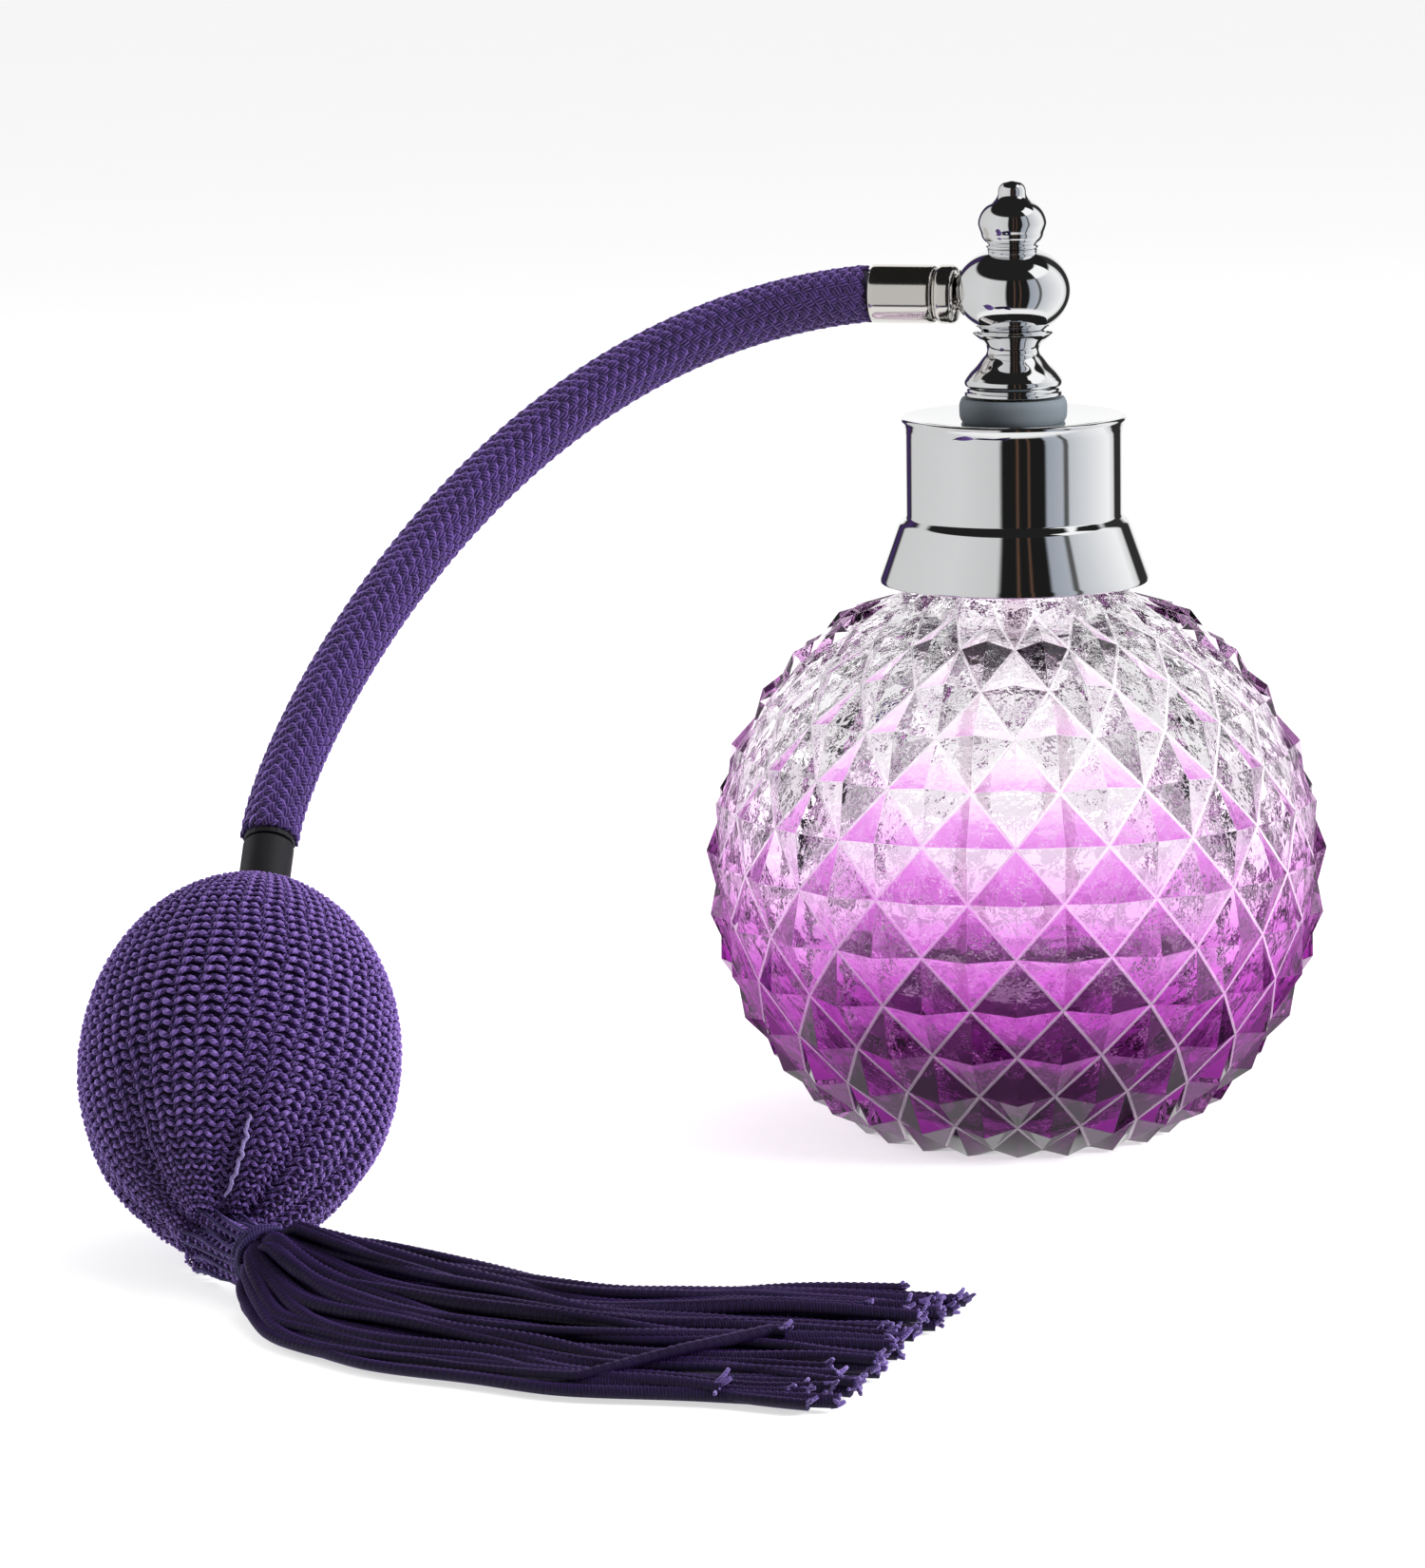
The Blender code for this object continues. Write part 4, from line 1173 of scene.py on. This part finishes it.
def seen_through(tree, turn, x, z):
    """What glass shows behind it: white with dark stripes, which give the facets their contrast."""
    stripes = round_ramp(tree, turn, [
        (-180, 1.0), (-156, 1.0), (-151, 0.03), (-139, 0.03), (-133, 0.9), (-121, 0.8), (-115, 0.02),
        (-96, 0.02), (-90, 0.6), (-66, 0.4), (-56, 0.02), (56, 0.02), (66, 0.5), (84, 0.7), (90, 0.02),
        (110, 0.02), (117, 0.9), (132, 1.0), (138, 0.04), (150, 0.04), (156, 1.0), (180, 1.0),
    ])
    colour = mix(tree, between(tree, z, 0.45, 0.65), stripes, rgba(0.9))
    return mix(tree, between(tree, times(tree, x, -1.0), 0.70, 0.95), colour, rgba(1.0))


def ambient(tree, turn, z):
    """Light for matt surfaces, weakest from the front."""
    sides = round_ramp(tree, turn, [
        (-180, 0.8), (-110, 0.9), (-70, 0.5), (-20, 0.15), (25, 0.2), (70, 0.8), (120, 1.1), (180, 0.8),
    ])
    return mix(tree, between(tree, z, 0.3, 0.9), sides, rgba(0.5))


def studio_world():
    """White for the camera, and its own surroundings for each kind of ray. Angles are seen from the
    object, 0 towards the camera, plus to its right."""
    world = bpy.data.worlds.new("studio")
    bpy.context.scene.world = world
    world.use_nodes = True
    world.cycles.sampling_method = "NONE"
    tree = world.node_tree
    where = node(tree, "TexCoord").outputs["Generated"]
    x, y = (node(tree, "VectorMath", {0: where, 1: axis}, operation="DOT_PRODUCT").outputs["Value"]
            for axis in ((math.sin(VIEW_TURN), -math.cos(VIEW_TURN), 0),
                         (math.cos(VIEW_TURN), math.sin(VIEW_TURN), 0)))
    turn = plus(tree, maths(tree, "DIVIDE", maths(tree, "ARCTAN2", y, x), TAU), 0.5)
    z = node(tree, "SeparateXYZ", {"Vector": where}).outputs["Z"]
    path = node(tree, "LightPath").outputs
    behind_glass = seen_through(tree, turn, x, z)
    colour = mix(tree, path["Is Transmission Ray"], mirrored(tree, turn, z), behind_glass)
    colour = mix(tree, path["Is Diffuse Ray"], colour, ambient(tree, turn, z))
    colour = mix(tree, path["Is Camera Ray"], colour, rgba(1.0))
    tree.links.new(colour, tree.nodes["Background"].inputs["Color"])


def floor():
    """Pale table that stays near white, with soft shadows. Seen through the glass it has a painted shadow,
    dark where the globe stands, as in the photo."""
    mesh = bpy.data.meshes.new("table")
    half = 9.0
    corners = [(-half, -half, 0), (half, -half, 0), (half, half, 0), (-half, half, 0)]
    mesh.from_pydata(corners, [], [(0, 1, 2, 3)])
    material, tree, shader = new_material("pale_table")
    where = local(tree)
    grain = noise(tree, where, 40.0)
    away = node(tree, "VectorMath", {0: where}, operation="LENGTH").outputs["Value"]
    # painted shadow: a dark patch round the globe's foot, seen only by rays that come through the glass
    under = one_minus(tree, between(tree, away, 0.020, 0.052))
    under = times(tree, under, node(tree, "LightPath").outputs["Is Transmission Ray"])
    glow = times(tree, one_minus(tree, times(tree, under, 0.85)), 0.62)
    feed(tree, shader, {
        "Base Color": mix(tree, under, mix(tree, grain, rgba(0.52), rgba(0.54)), rgba(0.06)),
        "Roughness": 0.9, "Specular IOR Level": 0.0, "Emission Color": rgba(1.0), "Emission Strength": glow,
    })
    mesh.materials.append(material)
    table = put_in_scene("table", mesh)
    table.visible_glossy = False
    table.location.z = -0.02 * MM


def soft_light(name, place, aim, size, power):
    """A lamp that lights the pieces but is not itself seen or reflected."""
    data = bpy.data.lights.new(name, "AREA")
    data.shape = "RECTANGLE"
    data.size, data.size_y = size
    data.energy = power
    lamp = put_in_scene(name, data)
    lamp.location = place
    lamp.rotation_euler = (Vector(aim) - Vector(place)).to_track_quat("-Z", "Y").to_euler()
    lamp.visible_glossy = False
    lamp.visible_camera = False
    lamp.visible_transmission = False


def lights():
    middle = (-0.03, -0.05, 0.05)
    soft_light("left_softbox", (-0.75, 0.10, 0.20), middle, (0.6, 0.4), 5.0)
    soft_light("right_softbox", (0.70, -0.10, 0.32), middle, (0.35, 0.3), 10.0)
    soft_light("top_softbox", (0.1, 0.1, 0.9), middle, (0.7, 0.7), 3.0)


def camera():
    """To the right of the object's front, turned a little to the left, tipped down and rolled."""
    data = bpy.data.cameras.new("camera")
    data.lens = CAMERA_LENS
    data.sensor_width = 36
    data.clip_start = 0.01
    data.clip_end = 50
    eye = put_in_scene("camera", data)
    place = Vector((math.sin(VIEW_TURN) * CAMERA_DISTANCE, -math.cos(VIEW_TURN) * CAMERA_DISTANCE,
                    CAMERA_HEIGHT)) * MM
    heading = Matrix.Rotation(VIEW_TURN + CAMERA_YAW, 4, "Z")
    tip = Matrix.Rotation(math.pi / 2 - CAMERA_PITCH, 4, "X")
    roll = Matrix.Rotation(-CAMERA_ROLL, 4, "Z")
    eye.matrix_world = Matrix.Translation(place) @ heading @ tip @ roll
    bpy.context.scene.camera = eye


# ---- assembly


def build():
    chrome = metal("chrome", (0.93, 0.935, 0.945), 0.025)
    nickel = metal("warm_nickel", (0.80, 0.77, 0.73), 0.10, 0.05)
    brass = metal("brass", (0.80, 0.62, 0.33), 0.22, 0.1)
    steel = metal("steel", (0.62, 0.62, 0.64), 0.12, 0.05)
    seal = plastic("grey_seal", (0.12, 0.14, 0.16), 0.5)
    black = plastic("black_rubber", (0.012, 0.012, 0.014), 0.5)
    dark = plastic("violet_rubber", (0.016, 0.004, 0.045), 0.7)
    white = plastic("white_plastic", (0.75, 0.75, 0.76), 0.4)
    tube = clear_glass("clear_tube", (0.88, 0.83, 0.86), ior=1.2)
    net_yarn = yarn("net_yarn", (0.014, 0.0040, 0.048), (0.044, 0.016, 0.122), (0.32, 0.20, 0.57))
    braid_yarn = yarn("braid_yarn", (0.007, 0.0024, 0.024), (0.020, 0.0075, 0.062), (0.20, 0.115, 0.40))
    cord_yarn = yarn("cord_yarn", (0.0026, 0.0011, 0.007), (0.007, 0.0034, 0.020), (0.040, 0.017, 0.10),
                     sheen=0.08)
    fray_yarn = yarn("fray_yarn", (0.02, 0.01, 0.065), (0.07, 0.04, 0.18), (0.30, 0.22, 0.50))
    loose_yarn = yarn("loose_yarn", (0.05, 0.035, 0.14), (0.11, 0.08, 0.24), (0.36, 0.29, 0.56))
    tie_yarn = yarn("tie_yarn", (0.008, 0.004, 0.03), (0.025, 0.014, 0.08), (0.10, 0.07, 0.22))

    glass_piece(cut_glass("violet_cut_glass"), clear_glass("cavity_glass", wave=0.26),
                cut_glass("pale_valleys", pale=True))
    for chrome_piece in (collar, bell_and_cup, ball, finial, nozzle):
        chrome_piece(chrome)
    swivel_ring(seal)
    hose_fittings(nickel)
    braided_hose(braid_yarn, dark)
    sheet = knitted_net(net_yarn, dark, tie_yarn)
    rubber(black, dark)
    stray_thread(sheet, loose_yarn)
    tie(tie_yarn)
    tassel(cord_yarn, fray_yarn)
    finish_cad_nodes((
        (white, ("neck_plug", "collar_insert", "jet_block")),
        (brass, ("head_stem", "stem_nut", "air_jet", "intake_valve_body", "intake_valve_retainer")),
        (seal, ("bottle_seal",)),
        (tube, ("dip_tube", "liquid_riser")),
        (black, ("bulb_connector",)),
        (steel, ("intake_valve_ball",)),
    ))
    studio_world()
    floor()
    lights()
    camera()
    bpy.context.scene.view_settings.view_transform = "Standard"


build()
